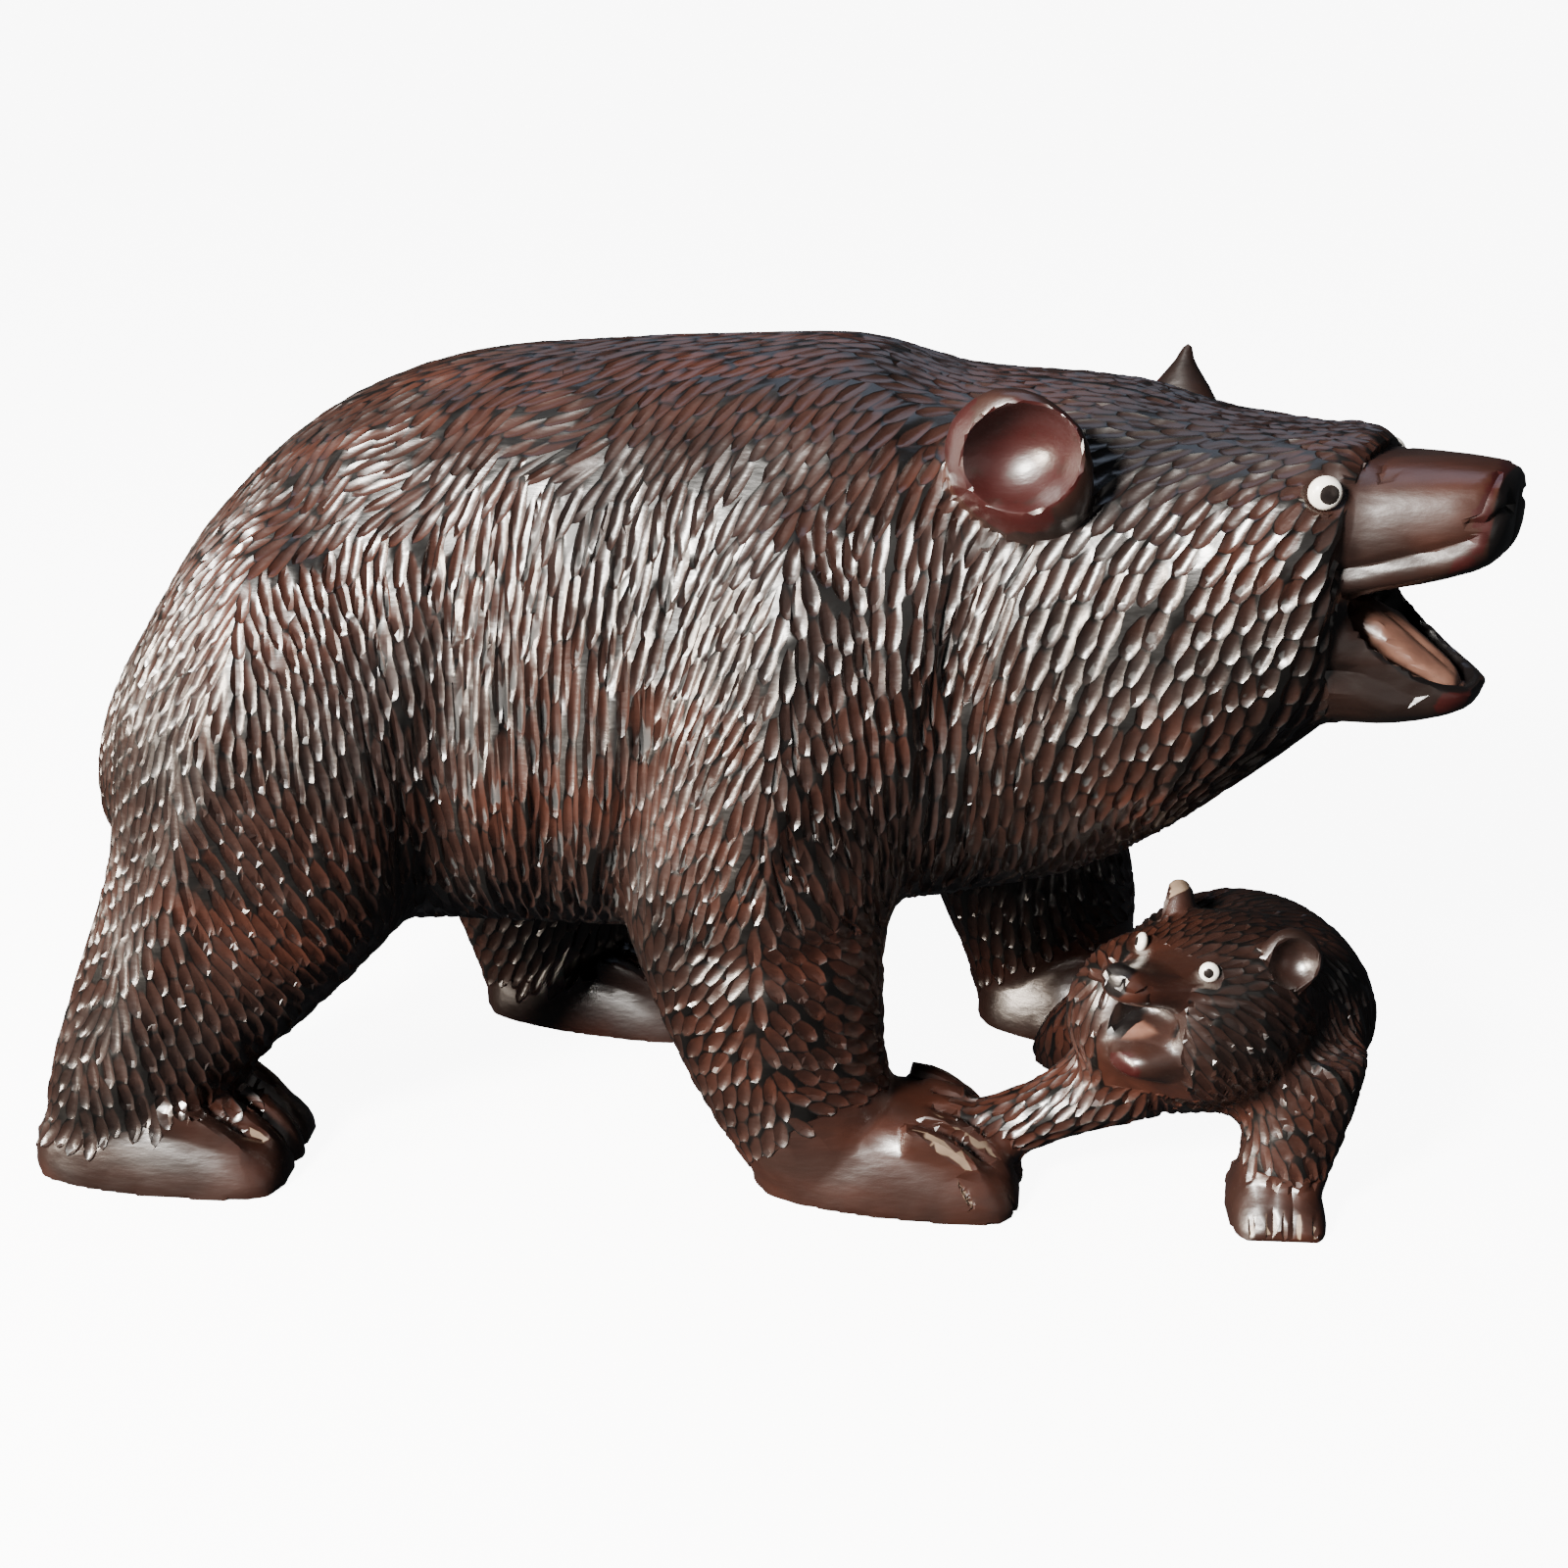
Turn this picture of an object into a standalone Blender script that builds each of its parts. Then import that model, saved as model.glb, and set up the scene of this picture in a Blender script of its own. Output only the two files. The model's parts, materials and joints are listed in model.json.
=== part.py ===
"""Carved wooden bear walking with its cub, both cut from one block, with inlaid eyes.

Metres, +Z up. The mother walks towards +X, her right side faces -Y, and the
origin is on the ground under the middle of the carving's box.
"""
import math

import bmesh
import bpy
import numpy as np
from mathutils import Matrix, Vector
from mathutils.bvhtree import BVHTree

# Driving dimensions, in metres.
CARVING_LENGTH = 0.437  # rump to nose, along the body
MOTHER_EYE_DIAMETER = 0.0092
CUB_EYE_DIAMETER = 0.0062
EYE_FLATNESS = 0.6  # depth of an eye bead, as a share of its width
EYE_PROUD = 0.42  # share of a bead's depth that stands out of its socket
EYE_CLEARANCE = 0.0003
EYE_SIDES = 14
CARVING_TRIANGLES = 7300

# The figures are drawn in shares of the carving's length: one step is a 437th of it.
STEP = CARVING_LENGTH / 437.0
ROUGH_VOXEL = 2.6 * STEP
FINE_VOXEL = 1.5 * STEP
ROUGH_SMOOTHING = 10
FINE_SMOOTHING = 2
RING_POINTS = 28
HOLLOW_POINTS = 18
GROUND_BLOCK = (700, 400, 40)

WALNUT_BLACK = (0.045, 0.020, 0.014)
EYE_WHITE = (0.80, 0.78, 0.72)

# The mother's trunk from rump to face, one row for each section across her body:
# place along and across, turn to the right in degrees, top, widest height, underside,
# half width and how square the section is.
TRUNK = (
    (-217, 0, 0, 124, 112, 100, 20, 2.0),
    (-211, 0, 0, 143, 114, 88, 41, 2.0),
    (-197, 0, 0, 166, 118, 76, 59, 2.0),
    (-174, 0, 0, 198, 124, 68, 72, 2.1),
    (-140, 0, 0, 227, 128, 66, 78, 2.2),
    (-98, 0, 0, 244, 130, 66, 76, 2.2),
    (-50, 0, 0, 249, 130, 65, 75, 2.2),
    (-10, 0, 0, 250.5, 132, 67, 77, 2.2),
    (24, -2, 5, 251, 138, 75, 79, 2.2),
    (54, -5, 13, 243, 145, 79, 76, 2.2),
    (80, -9, 22, 242, 154, 83, 69, 2.2),
    (101, -19, 27, 241, 164, 92, 63, 2.3),
    (121, -29, 28.5, 236, 172, 107, 57, 2.4),
    (141, -40, 28.5, 234, 182, 128, 50, 2.6),
    (157, -49, 28.5, 233, 190, 146, 43, 2.8),
    (166, -54, 28.5, 232, 194, 158, 37, 2.8),
)

# The mother's head has its own frame: forward, to her left, and up from this point.
HEAD_POINT = (92, -14, 205)
HEAD_TURN = 28.5
# Muzzle and jaw rows: forward, top, widest height, underside, half width, squareness.
MUZZLE = (
    (64, 22, 4, -20, 30, 2.4),
    (88, 23.5, 6, -13, 27, 2.4),
    (100, 24, 7, -9.5, 23.5, 2.5),
    (111, 24, 9, -5.5, 20, 2.6),
    (117.5, 23, 11, -2.5, 17, 2.6),
    (121, 19, 11, 2, 12, 2.4),
)
JAW = (
    (56, -8, -36, -58, 34, 2.3),
    (80, -9, -34, -52, 30, 2.5),
    (90, -14, -34, -50.5, 26, 2.6),
    (99, -22, -36, -49, 22, 2.6),
    (108, -30, -38, -46.5, 18, 2.5),
    (117, -35, -38.5, -42, 11, 2.4),
)
TONGUE = (
    (70, -22, -27, -34, 14, 2.2),
    (88, -21, -26, -34, 13, 2.2),
    (102, -27, -31, -38, 10.5, 2.2),
    (110, -32, -35, -40, 6, 2.2),
)
MOUTH_HOLLOW = (
    (78, -13, -20, -28, 15, 2.2),
    (86, -10, -20, -33, 20, 2.4),
    (94, -6, -20, -36, 18.5, 2.5),
    (105, -4, -22, -37, 14.5, 2.5),
    (112, -3, -22, -36.5, 10, 2.5),
    (128, -2, -22, -33, 14, 2.5),
)
# Ear rows, upwards: height, back, front, outer and inner side, squareness.
RIGHT_EAR = (
    (2, -4, 14, 58, 40, 2.1),
    (12, -15, 22, 63, 42, 2.1),
    (23, -19, 24, 66, 46, 2.1),
    (33, -16, 20, 66, 49, 2.1),
    (39, -9, 12, 64, 52, 2.0),
    (41.5, -3, 5, 62, 55, 2.0),
)
LEFT_EAR = (
    (-2, -2, 16, 56, 38, 2.1),
    (8, -8, 20, 63, 42, 2.1),
    (17, -9, 19, 65, 47, 2.1),
    (25, -5, 14, 65, 51, 2.1),
    (32, 0, 8, 64, 56, 2.0),
    (38, 3, 5.5, 63, 60, 2.0),
)
EAR_CUPS = {
    -1: ((5, 66, 25), (15.5, 11, 14)),
    1: ((7, 66, 15), (10, 10, 12)),
}
EAR_FACING = (0.16, 0.96, 0.22)
MOTHER_EYE_PLACE = (79, 30, 17.5)
MOTHER_EYE_FACING = (0.40, 0.90, 0.15)
EYE_SEARCH = 40

TAIL = ((-208, 0, 136), (10, 9, 17), (-0.9, 0, 0.3))

# Leg rows from the ground up: height, back, front, outer side, inner side, squareness.
# The near legs have their sides towards -Y, the far ones towards +Y.
NEAR_HIND_LEG = (
    (2, -234, -172, -84, -34, 2.3),
    (28, -229, -166, -85, -34, 2.3),
    (46, -223, -148, -86, -32, 2.3),
    (66, -215, -127, -87, -28, 2.3),
    (90, -206, -106, -88, -22, 2.2),
    (116, -200, -96, -89, -10, 2.2),
    (150, -196, -94, -88, 0, 2.1),
    (186, -176, -104, -76, 0, 2.0),
    (205, -160, -115, -55, 0, 2.0),
)
NEAR_FORE_LEG = (
    (2, -6, 44, -84, -36, 2.3),
    (18, -17, 43, -84, -36, 2.3),
    (36, -27, 36, -84, -34, 2.3),
    (62, -37, 34.5, -86, -32, 2.3),
    (84, -44, 35, -88, -26, 2.3),
    (112, -48, 44, -89, -12, 2.2),
    (150, -44, 50, -88, 0, 2.1),
    (195, -28, 42, -78, 0, 2.0),
    (216, -12, 28, -60, 0, 2.0),
)
FAR_HIND_LEG = (
    (2, -114, -62, 80, 30, 2.3),
    (20, -119, -54, 82, 30, 2.3),
    (40, -126, -54, 84, 28, 2.3),
    (62, -135, -58, 85, 25, 2.3),
    (90, -148, -66, 86, 18, 2.2),
    (120, -164, -80, 87, 8, 2.2),
    (155, -176, -92, 85, 0, 2.1),
    (190, -166, -104, 72, 0, 2.0),
    (205, -154, -115, 55, 0, 2.0),
)
FAR_FORE_LEG = (
    (2, 68, 122, 82, 32, 2.3),
    (24, 61, 124, 83, 32, 2.3),
    (50, 50, 123, 84, 30, 2.3),
    (76, 44, 116, 86, 26, 2.2),
    (110, 26, 102, 87, 10, 2.2),
    (150, 8, 88, 86, 0, 2.1),
    (195, -6, 62, 78, 0, 2.0),
    (216, 0, 40, 60, 0, 2.0),
)
# Foot rows from heel to toes: forward, top, half width. Each foot has a place and a turn.
FOOT = (
    (0, 12, 10),
    (8, 21, 19),
    (30, 31, 25),
    (52, 28, 27),
    (70, 20, 27),
    (79, 12, 24),
    (83, 5, 17),
)
FOOT_PLACES = {
    "near_hind": (-233, -64, 0),
    "near_fore": (-5, -60, -3),
    "far_hind": (-111, 52, -8),
    "far_fore": (70, 54, -14),
}
FOOT_WIDEST = -2  # height at which a foot is widest, and its underside, both under the sole
FOOT_UNDERSIDE = -8
CUB_FOOT_UNDERSIDE = -6
FOOT_SQUARENESS = 2.2
CLAWS = 5
CLAW_SPREAD = 19
CLAW_SET_BACK = 7  # how far the outer claws sit behind the middle one
CLAW_WIDEST = 1.4  # below a claw's top, in its radii
CLAW_DEPTH = 3
CLAW_ROW = ((54, 28, 2.4), (65, 25, 3.0), (75, 18.5, 2.8), (81, 11, 2.2), (84, 3, 1.3))

# The cub: body rows as the trunk's, then head rows in its own frame as the muzzle's.
CUB_BODY = (
    (103, -63, -35, 52, 42, 32, 15, 2.0),
    (113, -57, -35, 68, 48, 25, 27, 2.1),
    (130, -46, -35, 80, 50, 22, 36, 2.2),
    (148, -34, -35, 84, 50, 21, 39, 2.2),
    (163, -22, -35, 79, 48, 19, 35, 2.2),
    (174, -14, -35, 66, 44, 20, 27, 2.1),
    (181, -8, -35, 50, 40, 28, 14, 2.0),
)
CUB_HEAD_POINT = (138.5, -58.5, 72)
CUB_HEAD_TURN = 138
CUB_HEAD = (
    (-20, 12, -6, -24, 20, 2.0),
    (-6, 17, -6, -32, 27, 2.1),
    (10, 18, -6, -36, 30, 2.2),
    (23, 16.5, -6, -35, 26, 2.3),
    (31, 14.5, -6, -30, 20, 2.3),
    (35, 13, -6, -26, 15, 2.3),
)
CUB_MUZZLE = (
    (28, 12, 6, -2, 14, 2.3),
    (40, 13.5, 8, 2.5, 9.5, 2.4),
    (48, 16.5, 11, 5, 8, 2.4),
    (53, 16, 12, 8, 5.5, 2.2),
)
CUB_JAW = (
    (26, -8, -16, -27, 14, 2.2),
    (38, -10, -15, -22, 10.5, 2.3),
    (46, -11, -14.5, -19, 7, 2.3),
)
CUB_TONGUE = (
    (30, -7, -9.5, -12, 6, 2.2),
    (42, -7.5, -9.5, -12, 4, 2.2),
)
CUB_MOUTH_HOLLOW = (
    (29, 0, -3.5, -7.5, 8, 2.2),
    (38, 2, -4, -10, 8, 2.3),
    (52, 4.5, -4, -12, 6.5, 2.3),
)
CUB_EAR_PLACE = (2, 22, 13)
CUB_EAR_FACING = (0.62, 0.76, 0.18)
CUB_EAR_RADII = (9, 5.5, 9.5)
CUB_EAR_CUP_RADII = (6.4, 6, 6.6)
CUB_EAR_CUP_OUT = 4.6
CUB_RUFF = ((113, -62, 58), (25, 20, 28), (0.5, -0.85, 0.1))
CUB_EYE_PLACE = (27.5, 13, 13.2)
CUB_EYE_FACING = (0.74, 0.62, 0.26)
CUB_LEFT_LEG = (
    (2, 141, 168, -88, -62, 2.2),
    (16, 143, 171, -86, -58, 2.2),
    (30, 144, 176, -85, -50, 2.2),
    (52, 140, 182, -84, -40, 2.0),
)
CUB_LEFT_FOOT = ((-62, 14, 12), (-74, 15, 14), (-86, 10, 14), (-93, 4, 11))
CUB_FOOT_MIDDLE = 154
CUB_RIGHT_ARM = (
    (116, -60, 0, 56, 40, 25, 20, 2.2),
    (100, -60, 0, 45, 32, 20, 16, 2.2),
    (86, -60, 0, 35, 24, 13, 13, 2.2),
    (72, -61, 0, 28, 17, 6, 11, 2.2),
    (56, -62, 0, 24, 14, 4, 10, 2.2),
)
CUB_HIND_LEGS = (
    ((2, 158, 186, -16, 12, 2.2), (24, 158, 187, -24, 8, 2.2), (48, 150, 184, -34, 0, 2.1)),
    ((2, 84, 112, -6, 24, 2.2), (20, 88, 120, -14, 16, 2.2), (42, 100, 144, -38, 4, 2.1)),
)

# Folds that show from a step away: a row of points along each, its half width and
# its height (a furrow is below zero, a crest above), all on the near or far side.
FOLD_PIECES = 6
FOLD_FADE_IN = 0.08  # a fold fades in from this share of its run, and out at its other end
FOLD_RUN = 0.9
FOLD_FACING = 2.0  # how quickly a fold fades where the skin turns away from its side
FOLDS = (
    ("near", ((-91, 205), (-92, 165), (-97, 119), (-103, 84)), 10, -6.5),
    ("near", ((-70, 214), (-73, 178), (-74, 138)), 5, -2.4),
    ("near", ((-58, 172), (-63, 130), (-66, 92)), 6, -2.8),
    ("near", ((-42, 216), (-43, 188), (-47, 150)), 5, -2.2),
    ("near", ((-36, 150), (-40, 120), (-45, 90)), 6, -3.2),
    ("near", ((56, 205), (52, 165), (46, 118)), 8, -3.0),
    ("near", ((-144, 219), (-148, 178), (-168, 114), (-195, 46), (-214, 20)), 9, 2.6),
    ("near", ((5, 205), (2, 151), (-2, 109), (0, 88), (3, 58), (8, 36)), 8, 3.0),
    ("near", ((-28, 88), (2, 82), (33, 90)), 6, -2.2),
    ("far", ((-74, 205), (-72, 165), (-66, 119), (-58, 84)), 10, -6.5),
    ("far", ((-50, 212), (-48, 178), (-42, 138)), 5, -2.4),
    ("far", ((-34, 170), (-28, 130), (-22, 92)), 6, -2.8),
    ("far", ((-18, 214), (-14, 188), (-8, 150)), 5, -2.2),
    ("far", ((-132, 214), (-130, 170), (-112, 110), (-88, 46)), 9, 2.6),
    ("far", ((32, 205), (48, 151), (70, 100), (88, 58), (94, 36)), 8, 3.0),
)


def catmull_rows(rows, pieces):
    """Adds smooth rows between the given ones, by Catmull-Rom."""
    rows = np.array(rows, dtype=float)
    first = 2 * rows[0] - rows[1]
    last = 2 * rows[-1] - rows[-2]
    padded = np.vstack([first, rows, last])
    out = []
    for i in range(1, len(padded) - 2):
        p0, p1, p2, p3 = padded[i - 1:i + 3]
        for k in range(pieces):
            t = k / pieces
            out.append(0.5 * (2 * p1 + (p2 - p0) * t + (2 * p0 - 5 * p1 + 4 * p2 - p3) * t ** 2
                              + (3 * p1 - p0 - 3 * p2 + p3) * t ** 3))
    out.append(padded[-2])
    return np.array(out)


def rounded(angles, squareness):
    """Cosine and sine of a superellipse, from round (2) towards square."""
    power = 2.0 / squareness
    across = np.sign(np.cos(angles)) * np.abs(np.cos(angles)) ** power
    up = np.sign(np.sin(angles)) * np.abs(np.sin(angles)) ** power
    return across, up


def ring_angles(points):
    return np.linspace(0, 2 * math.pi, points, endpoint=False)


def upright_ring(x, y, turn, top, wide, bottom, half_width, squareness, points=RING_POINTS):
    """A section that stands across the direction in which the body runs."""
    across, up = rounded(ring_angles(points), squareness)
    heights = np.where(up > 0, wide + (top - wide) * up, wide + (wide - bottom) * up)
    turn = math.radians(turn)
    return np.stack([x + half_width * across * math.sin(turn),
                     y + half_width * across * math.cos(turn), heights], axis=1)


def level_ring(z, back, front, outer, inner, squareness):
    """A section that lies level, for a leg."""
    along, across = rounded(ring_angles(RING_POINTS), squareness)
    middle = np.array([(back + front) / 2, (outer + inner) / 2])
    return np.stack([middle[0] + (front - back) / 2 * along,
                     middle[1] + abs(outer - inner) / 2 * across,
                     np.full_like(along, z)], axis=1)


def loft(name, rings):
    """A closed body over sections with the same number of points, capped at both ends."""
    mesh = bpy.data.meshes.new(name)
    bm = bmesh.new()
    loops = [[bm.verts.new(Vector(p) * STEP) for p in ring] for ring in rings]
    for lower, upper in zip(loops, loops[1:]):
        for i in range(len(lower)):
            j = (i + 1) % len(lower)
            bm.faces.new((lower[i], lower[j], upper[j], upper[i]))
    bm.faces.new(loops[0][::-1])
    bm.faces.new(loops[-1])
    bm.normal_update()
    bmesh.ops.recalc_face_normals(bm, faces=bm.faces)
    bm.to_mesh(mesh)
    bm.free()
    piece = bpy.data.objects.new(name, mesh)
    shapes.objects.link(piece)
    return piece


def trunk_loft(name, rows, pieces=4):
    return loft(name, [upright_ring(*row) for row in catmull_rows(rows, pieces)])


def leg_loft(name, rows, pieces=3):
    return loft(name, [level_ring(*row) for row in catmull_rows(rows, pieces)])


def head_matrix(point, turn):
    """From a head's frame (forward, to its left, up) to the carving's."""
    return Matrix.Translation(Vector(point)) @ Matrix.Rotation(math.radians(-turn), 4, "Z")


MOTHER_HEAD = head_matrix(HEAD_POINT, HEAD_TURN)
CUB_HEAD_FRAME = head_matrix(CUB_HEAD_POINT, CUB_HEAD_TURN)


def head_loft(name, frame, rows, pieces=2, points=RING_POINTS):
    rings = []
    for forward, top, wide, bottom, half_width, squareness in catmull_rows(rows, pieces):
        ring = upright_ring(forward, 0, 0, top, wide, bottom, half_width, squareness, points)
        rings.append([frame @ Vector(p) for p in ring])
    return loft(name, rings)


def foot_loft(name, place):
    """A foot that is thick at the instep and low at the toes, sunk a little under the sole."""
    x, y, turn = place
    direction = math.radians(turn)
    rings = []
    for forward, top, half_width in catmull_rows(FOOT, 3):
        rings.append(upright_ring(x + forward * math.cos(direction), y + forward * math.sin(direction),
                                  -turn, top, FOOT_WIDEST, FOOT_UNDERSIDE, half_width, FOOT_SQUARENESS))
    return loft(name, rings)


def claw_lofts(name, place):
    """Five curved claws that run over the toes to the ground, each a thin tapering body."""
    x, y, turn = place
    frame = Matrix.Translation((x, y, 0)) @ Matrix.Rotation(math.radians(turn), 4, "Z")
    claws = []
    for i in range(CLAWS):
        side = (i - (CLAWS - 1) / 2) / ((CLAWS - 1) / 2)
        rings = []
        for forward, height, radius in catmull_rows(CLAW_ROW, 3):
            back = CLAW_SET_BACK * side ** 2
            ring = upright_ring(forward - back, CLAW_SPREAD * side, 0, height, height - radius * CLAW_WIDEST,
                                height - CLAW_DEPTH * radius, radius, 2.0)
            rings.append([frame @ Vector(p) for p in ring])
        claws.append(loft(f"{name}_claw_{i + 1}", rings))
    return claws


def ball(name, centre, radii, facing, frame=Matrix(), sides=18):
    """An ellipsoid whose second radius points along the facing direction."""
    bm = bmesh.new()
    bmesh.ops.create_uvsphere(bm, u_segments=sides, v_segments=sides // 2, radius=1.0)
    turn = Vector((0, 1, 0)).rotation_difference(Vector(facing)).to_matrix().to_4x4()
    place = Matrix.Scale(STEP, 4) @ frame @ Matrix.Translation(Vector(centre)) @ turn
    bm.transform(place @ Matrix.Diagonal((*radii, 1)))
    mesh = bpy.data.meshes.new(name)
    bm.to_mesh(mesh)
    bm.free()
    piece = bpy.data.objects.new(name, mesh)
    shapes.objects.link(piece)
    return piece


def mirrored(point, side):
    """A place or direction in a head's frame, on its left (1) or its right (-1)."""
    return (point[0], point[1] * side, point[2])


def ear_loft(name, rows, side):
    """A standing ear of the mother, round or pointed at its top."""
    rings = []
    for height, back, front, outer, inner, squareness in catmull_rows(rows, 3):
        ring = level_ring(height, back, front, outer * side, inner * side, squareness)
        rings.append([MOTHER_HEAD @ Vector(p) for p in ring])
    return loft(name, rings)


def cub_ear_cup(name, side):
    facing = Vector(mirrored(CUB_EAR_FACING, side)).normalized()
    centre = Vector(mirrored(CUB_EAR_PLACE, side)) + facing * CUB_EAR_CUP_OUT
    return ball(name, centre, CUB_EAR_CUP_RADII, facing, CUB_HEAD_FRAME)


def joined(name, pieces):
    """Joins the meshes of several bodies into one object."""
    bm = bmesh.new()
    for piece in pieces:
        bm.from_mesh(piece.data)
        bpy.data.objects.remove(piece)
    mesh = bpy.data.meshes.new(name)
    bm.to_mesh(mesh)
    bm.free()
    whole = bpy.data.objects.new(name, mesh)
    shapes.objects.link(whole)
    return whole


def evaluated(piece):
    """Replaces an object's mesh by what its modifiers make of it."""
    bpy.context.view_layer.update()
    graph = bpy.context.evaluated_depsgraph_get()
    mesh = bpy.data.meshes.new_from_object(piece.evaluated_get(graph))
    piece.modifiers.clear()
    piece.data = mesh
    return piece


def fuse(piece, voxel, smoothing):
    """Makes one closed skin over overlapping bodies and rounds where they meet."""
    remesh = piece.modifiers.new("fuse", "REMESH")
    remesh.mode = "VOXEL"
    remesh.voxel_size = voxel
    if smoothing:
        smooth = piece.modifiers.new("blend", "SMOOTH")
        smooth.factor = 0.5
        smooth.iterations = smoothing
    return evaluated(piece)


def subtract(piece, cutter):
    cutter.display_type = "WIRE"
    cutter.hide_render = True
    cut = piece.modifiers.new("cut", "BOOLEAN")
    cut.operation = "DIFFERENCE"
    cut.solver = "EXACT"
    cut.object = cutter
    return evaluated(piece)


def press_folds(piece):
    """Moves the skin in along the furrows between the limbs and out along their crests."""
    mesh = piece.data
    points = np.empty(len(mesh.vertices) * 3)
    mesh.vertices.foreach_get("co", points)
    points = points.reshape(-1, 3)
    normals = np.empty(len(mesh.vertices) * 3)
    mesh.vertices.foreach_get("normal", normals)
    normals = normals.reshape(-1, 3)
    shift = np.zeros(len(points))
    for side, line, half_width, height in FOLDS:
        sign = -1.0 if side == "near" else 1.0
        facing = np.clip(normals[:, 1] * sign * FOLD_FACING, 0, 1)
        line = catmull_rows(line, FOLD_PIECES) * STEP
        away = np.full(len(points), np.inf)
        run = np.zeros(len(points))
        for i in range(len(line) - 1):
            start, end = line[i], line[i + 1]
            along = end - start
            share = np.clip(((points[:, [0, 2]] - start) @ along) / (along @ along), 0, 1)
            gap = np.linalg.norm(points[:, [0, 2]] - (start + share[:, None] * along), axis=1)
            nearer = gap < away
            away[nearer] = gap[nearer]
            run[nearer] = (i + share[nearer]) / (len(line) - 1)
        profile = np.exp(-(away / (half_width * STEP)) ** 2)
        fade = np.sin(math.pi * np.clip(run * FOLD_RUN + FOLD_FADE_IN, 0, 1)) ** 0.5
        shift += height * STEP * profile * fade * facing
    points += normals * shift[:, None]
    mesh.vertices.foreach_set("co", points.ravel())
    mesh.update()


def thinned(piece, triangles):
    """Keeps the given number of triangles, where the form needs them most."""
    piece.data.calc_loop_triangles()
    thin = piece.modifiers.new("thin", "DECIMATE")
    thin.ratio = triangles / len(piece.data.loop_triangles)
    return evaluated(piece)


def ground_block():
    """Everything under the ground line, so that the soles are cut flat."""
    bm = bmesh.new()
    bmesh.ops.create_cube(bm, size=1.0)
    size = [side * STEP for side in GROUND_BLOCK]
    bm.transform(Matrix.Translation((0, 0, -size[2] / 2)) @ Matrix.Diagonal((*size, 1)))
    mesh = bpy.data.meshes.new("ground_block")
    bm.to_mesh(mesh)
    bm.free()
    block = bpy.data.objects.new("ground_block", mesh)
    shapes.objects.link(block)
    return block


def material(name, colour, roughness):
    finish = bpy.data.materials.new(name)
    finish.use_nodes = True
    shader = finish.node_tree.nodes["Principled BSDF"]
    shader.inputs["Base Color"].default_value = (*colour, 1)
    shader.inputs["Roughness"].default_value = roughness
    shader.inputs["Metallic"].default_value = 0.0
    return finish


def rough_bodies():
    """Trunk, legs and cub body, which flow into each other."""
    return [
        trunk_loft("trunk", TRUNK),
        leg_loft("near_hind_leg", NEAR_HIND_LEG),
        leg_loft("near_fore_leg", NEAR_FORE_LEG),
        leg_loft("far_hind_leg", FAR_HIND_LEG),
        leg_loft("far_fore_leg", FAR_FORE_LEG),
        ball("tail", *TAIL),
        trunk_loft("cub_body", CUB_BODY),
        ball("cub_ruff", *CUB_RUFF),
        trunk_loft("cub_right_arm", CUB_RIGHT_ARM),
        leg_loft("cub_left_leg", CUB_LEFT_LEG),
        leg_loft("cub_right_hind_leg", CUB_HIND_LEGS[0]),
        leg_loft("cub_left_hind_leg", CUB_HIND_LEGS[1]),
        head_loft("cub_head", CUB_HEAD_FRAME, CUB_HEAD),
    ]


def cub_foot():
    rings = [upright_ring(CUB_FOOT_MIDDLE, y, -90, top, FOOT_WIDEST, CUB_FOOT_UNDERSIDE, half_width,
                          FOOT_SQUARENESS)
             for y, top, half_width in catmull_rows(CUB_LEFT_FOOT, 3)]
    return loft("cub_foot", rings)


def crisp_bodies():
    """Feet, claws, muzzles and ears, which keep their edges."""
    bodies = [cub_foot()]
    for name, place in FOOT_PLACES.items():
        bodies.append(foot_loft(f"{name}_foot", place))
        bodies.extend(claw_lofts(name, place))
    bodies.append(head_loft("muzzle", MOTHER_HEAD, MUZZLE))
    bodies.append(head_loft("jaw", MOTHER_HEAD, JAW))
    bodies.append(head_loft("cub_muzzle", CUB_HEAD_FRAME, CUB_MUZZLE))
    bodies.append(head_loft("cub_jaw", CUB_HEAD_FRAME, CUB_JAW))
    for side, rows in ((-1, RIGHT_EAR), (1, LEFT_EAR)):
        bodies.append(ear_loft(f"ear_{side}", rows, side))
        bodies.append(ball(f"cub_ear_{side}", mirrored(CUB_EAR_PLACE, side), CUB_EAR_RADII,
                           mirrored(CUB_EAR_FACING, side), CUB_HEAD_FRAME))
    return bodies


def hollows():
    """Mouths without their tongues, and the cups of the ears."""
    mouth = head_loft("mouth_hollow", MOTHER_HEAD, MOUTH_HOLLOW, 1, HOLLOW_POINTS)
    subtract(mouth, head_loft("tongue", MOTHER_HEAD, TONGUE, 1, HOLLOW_POINTS))
    cub_mouth = head_loft("cub_mouth_hollow", CUB_HEAD_FRAME, CUB_MOUTH_HOLLOW, 1, HOLLOW_POINTS)
    subtract(cub_mouth, head_loft("cub_tongue", CUB_HEAD_FRAME, CUB_TONGUE, 1, HOLLOW_POINTS))
    cuts = [mouth, cub_mouth]
    for side, (place, radii) in EAR_CUPS.items():
        cuts.append(ball(f"cup_{side}", mirrored(place, side), radii, mirrored(EAR_FACING, side), MOTHER_HEAD))
        cuts.append(cub_ear_cup(f"cub_cup_{side}", side))
    return cuts


def eye_bead(name, frame, centre, facing, radius):
    """A flat round bead; its second radius points out of the head."""
    radii = (radius / STEP, radius * EYE_FLATNESS / STEP, radius / STEP)
    return ball(name, centre, radii, facing, frame, sides=EYE_SIDES)


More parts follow.
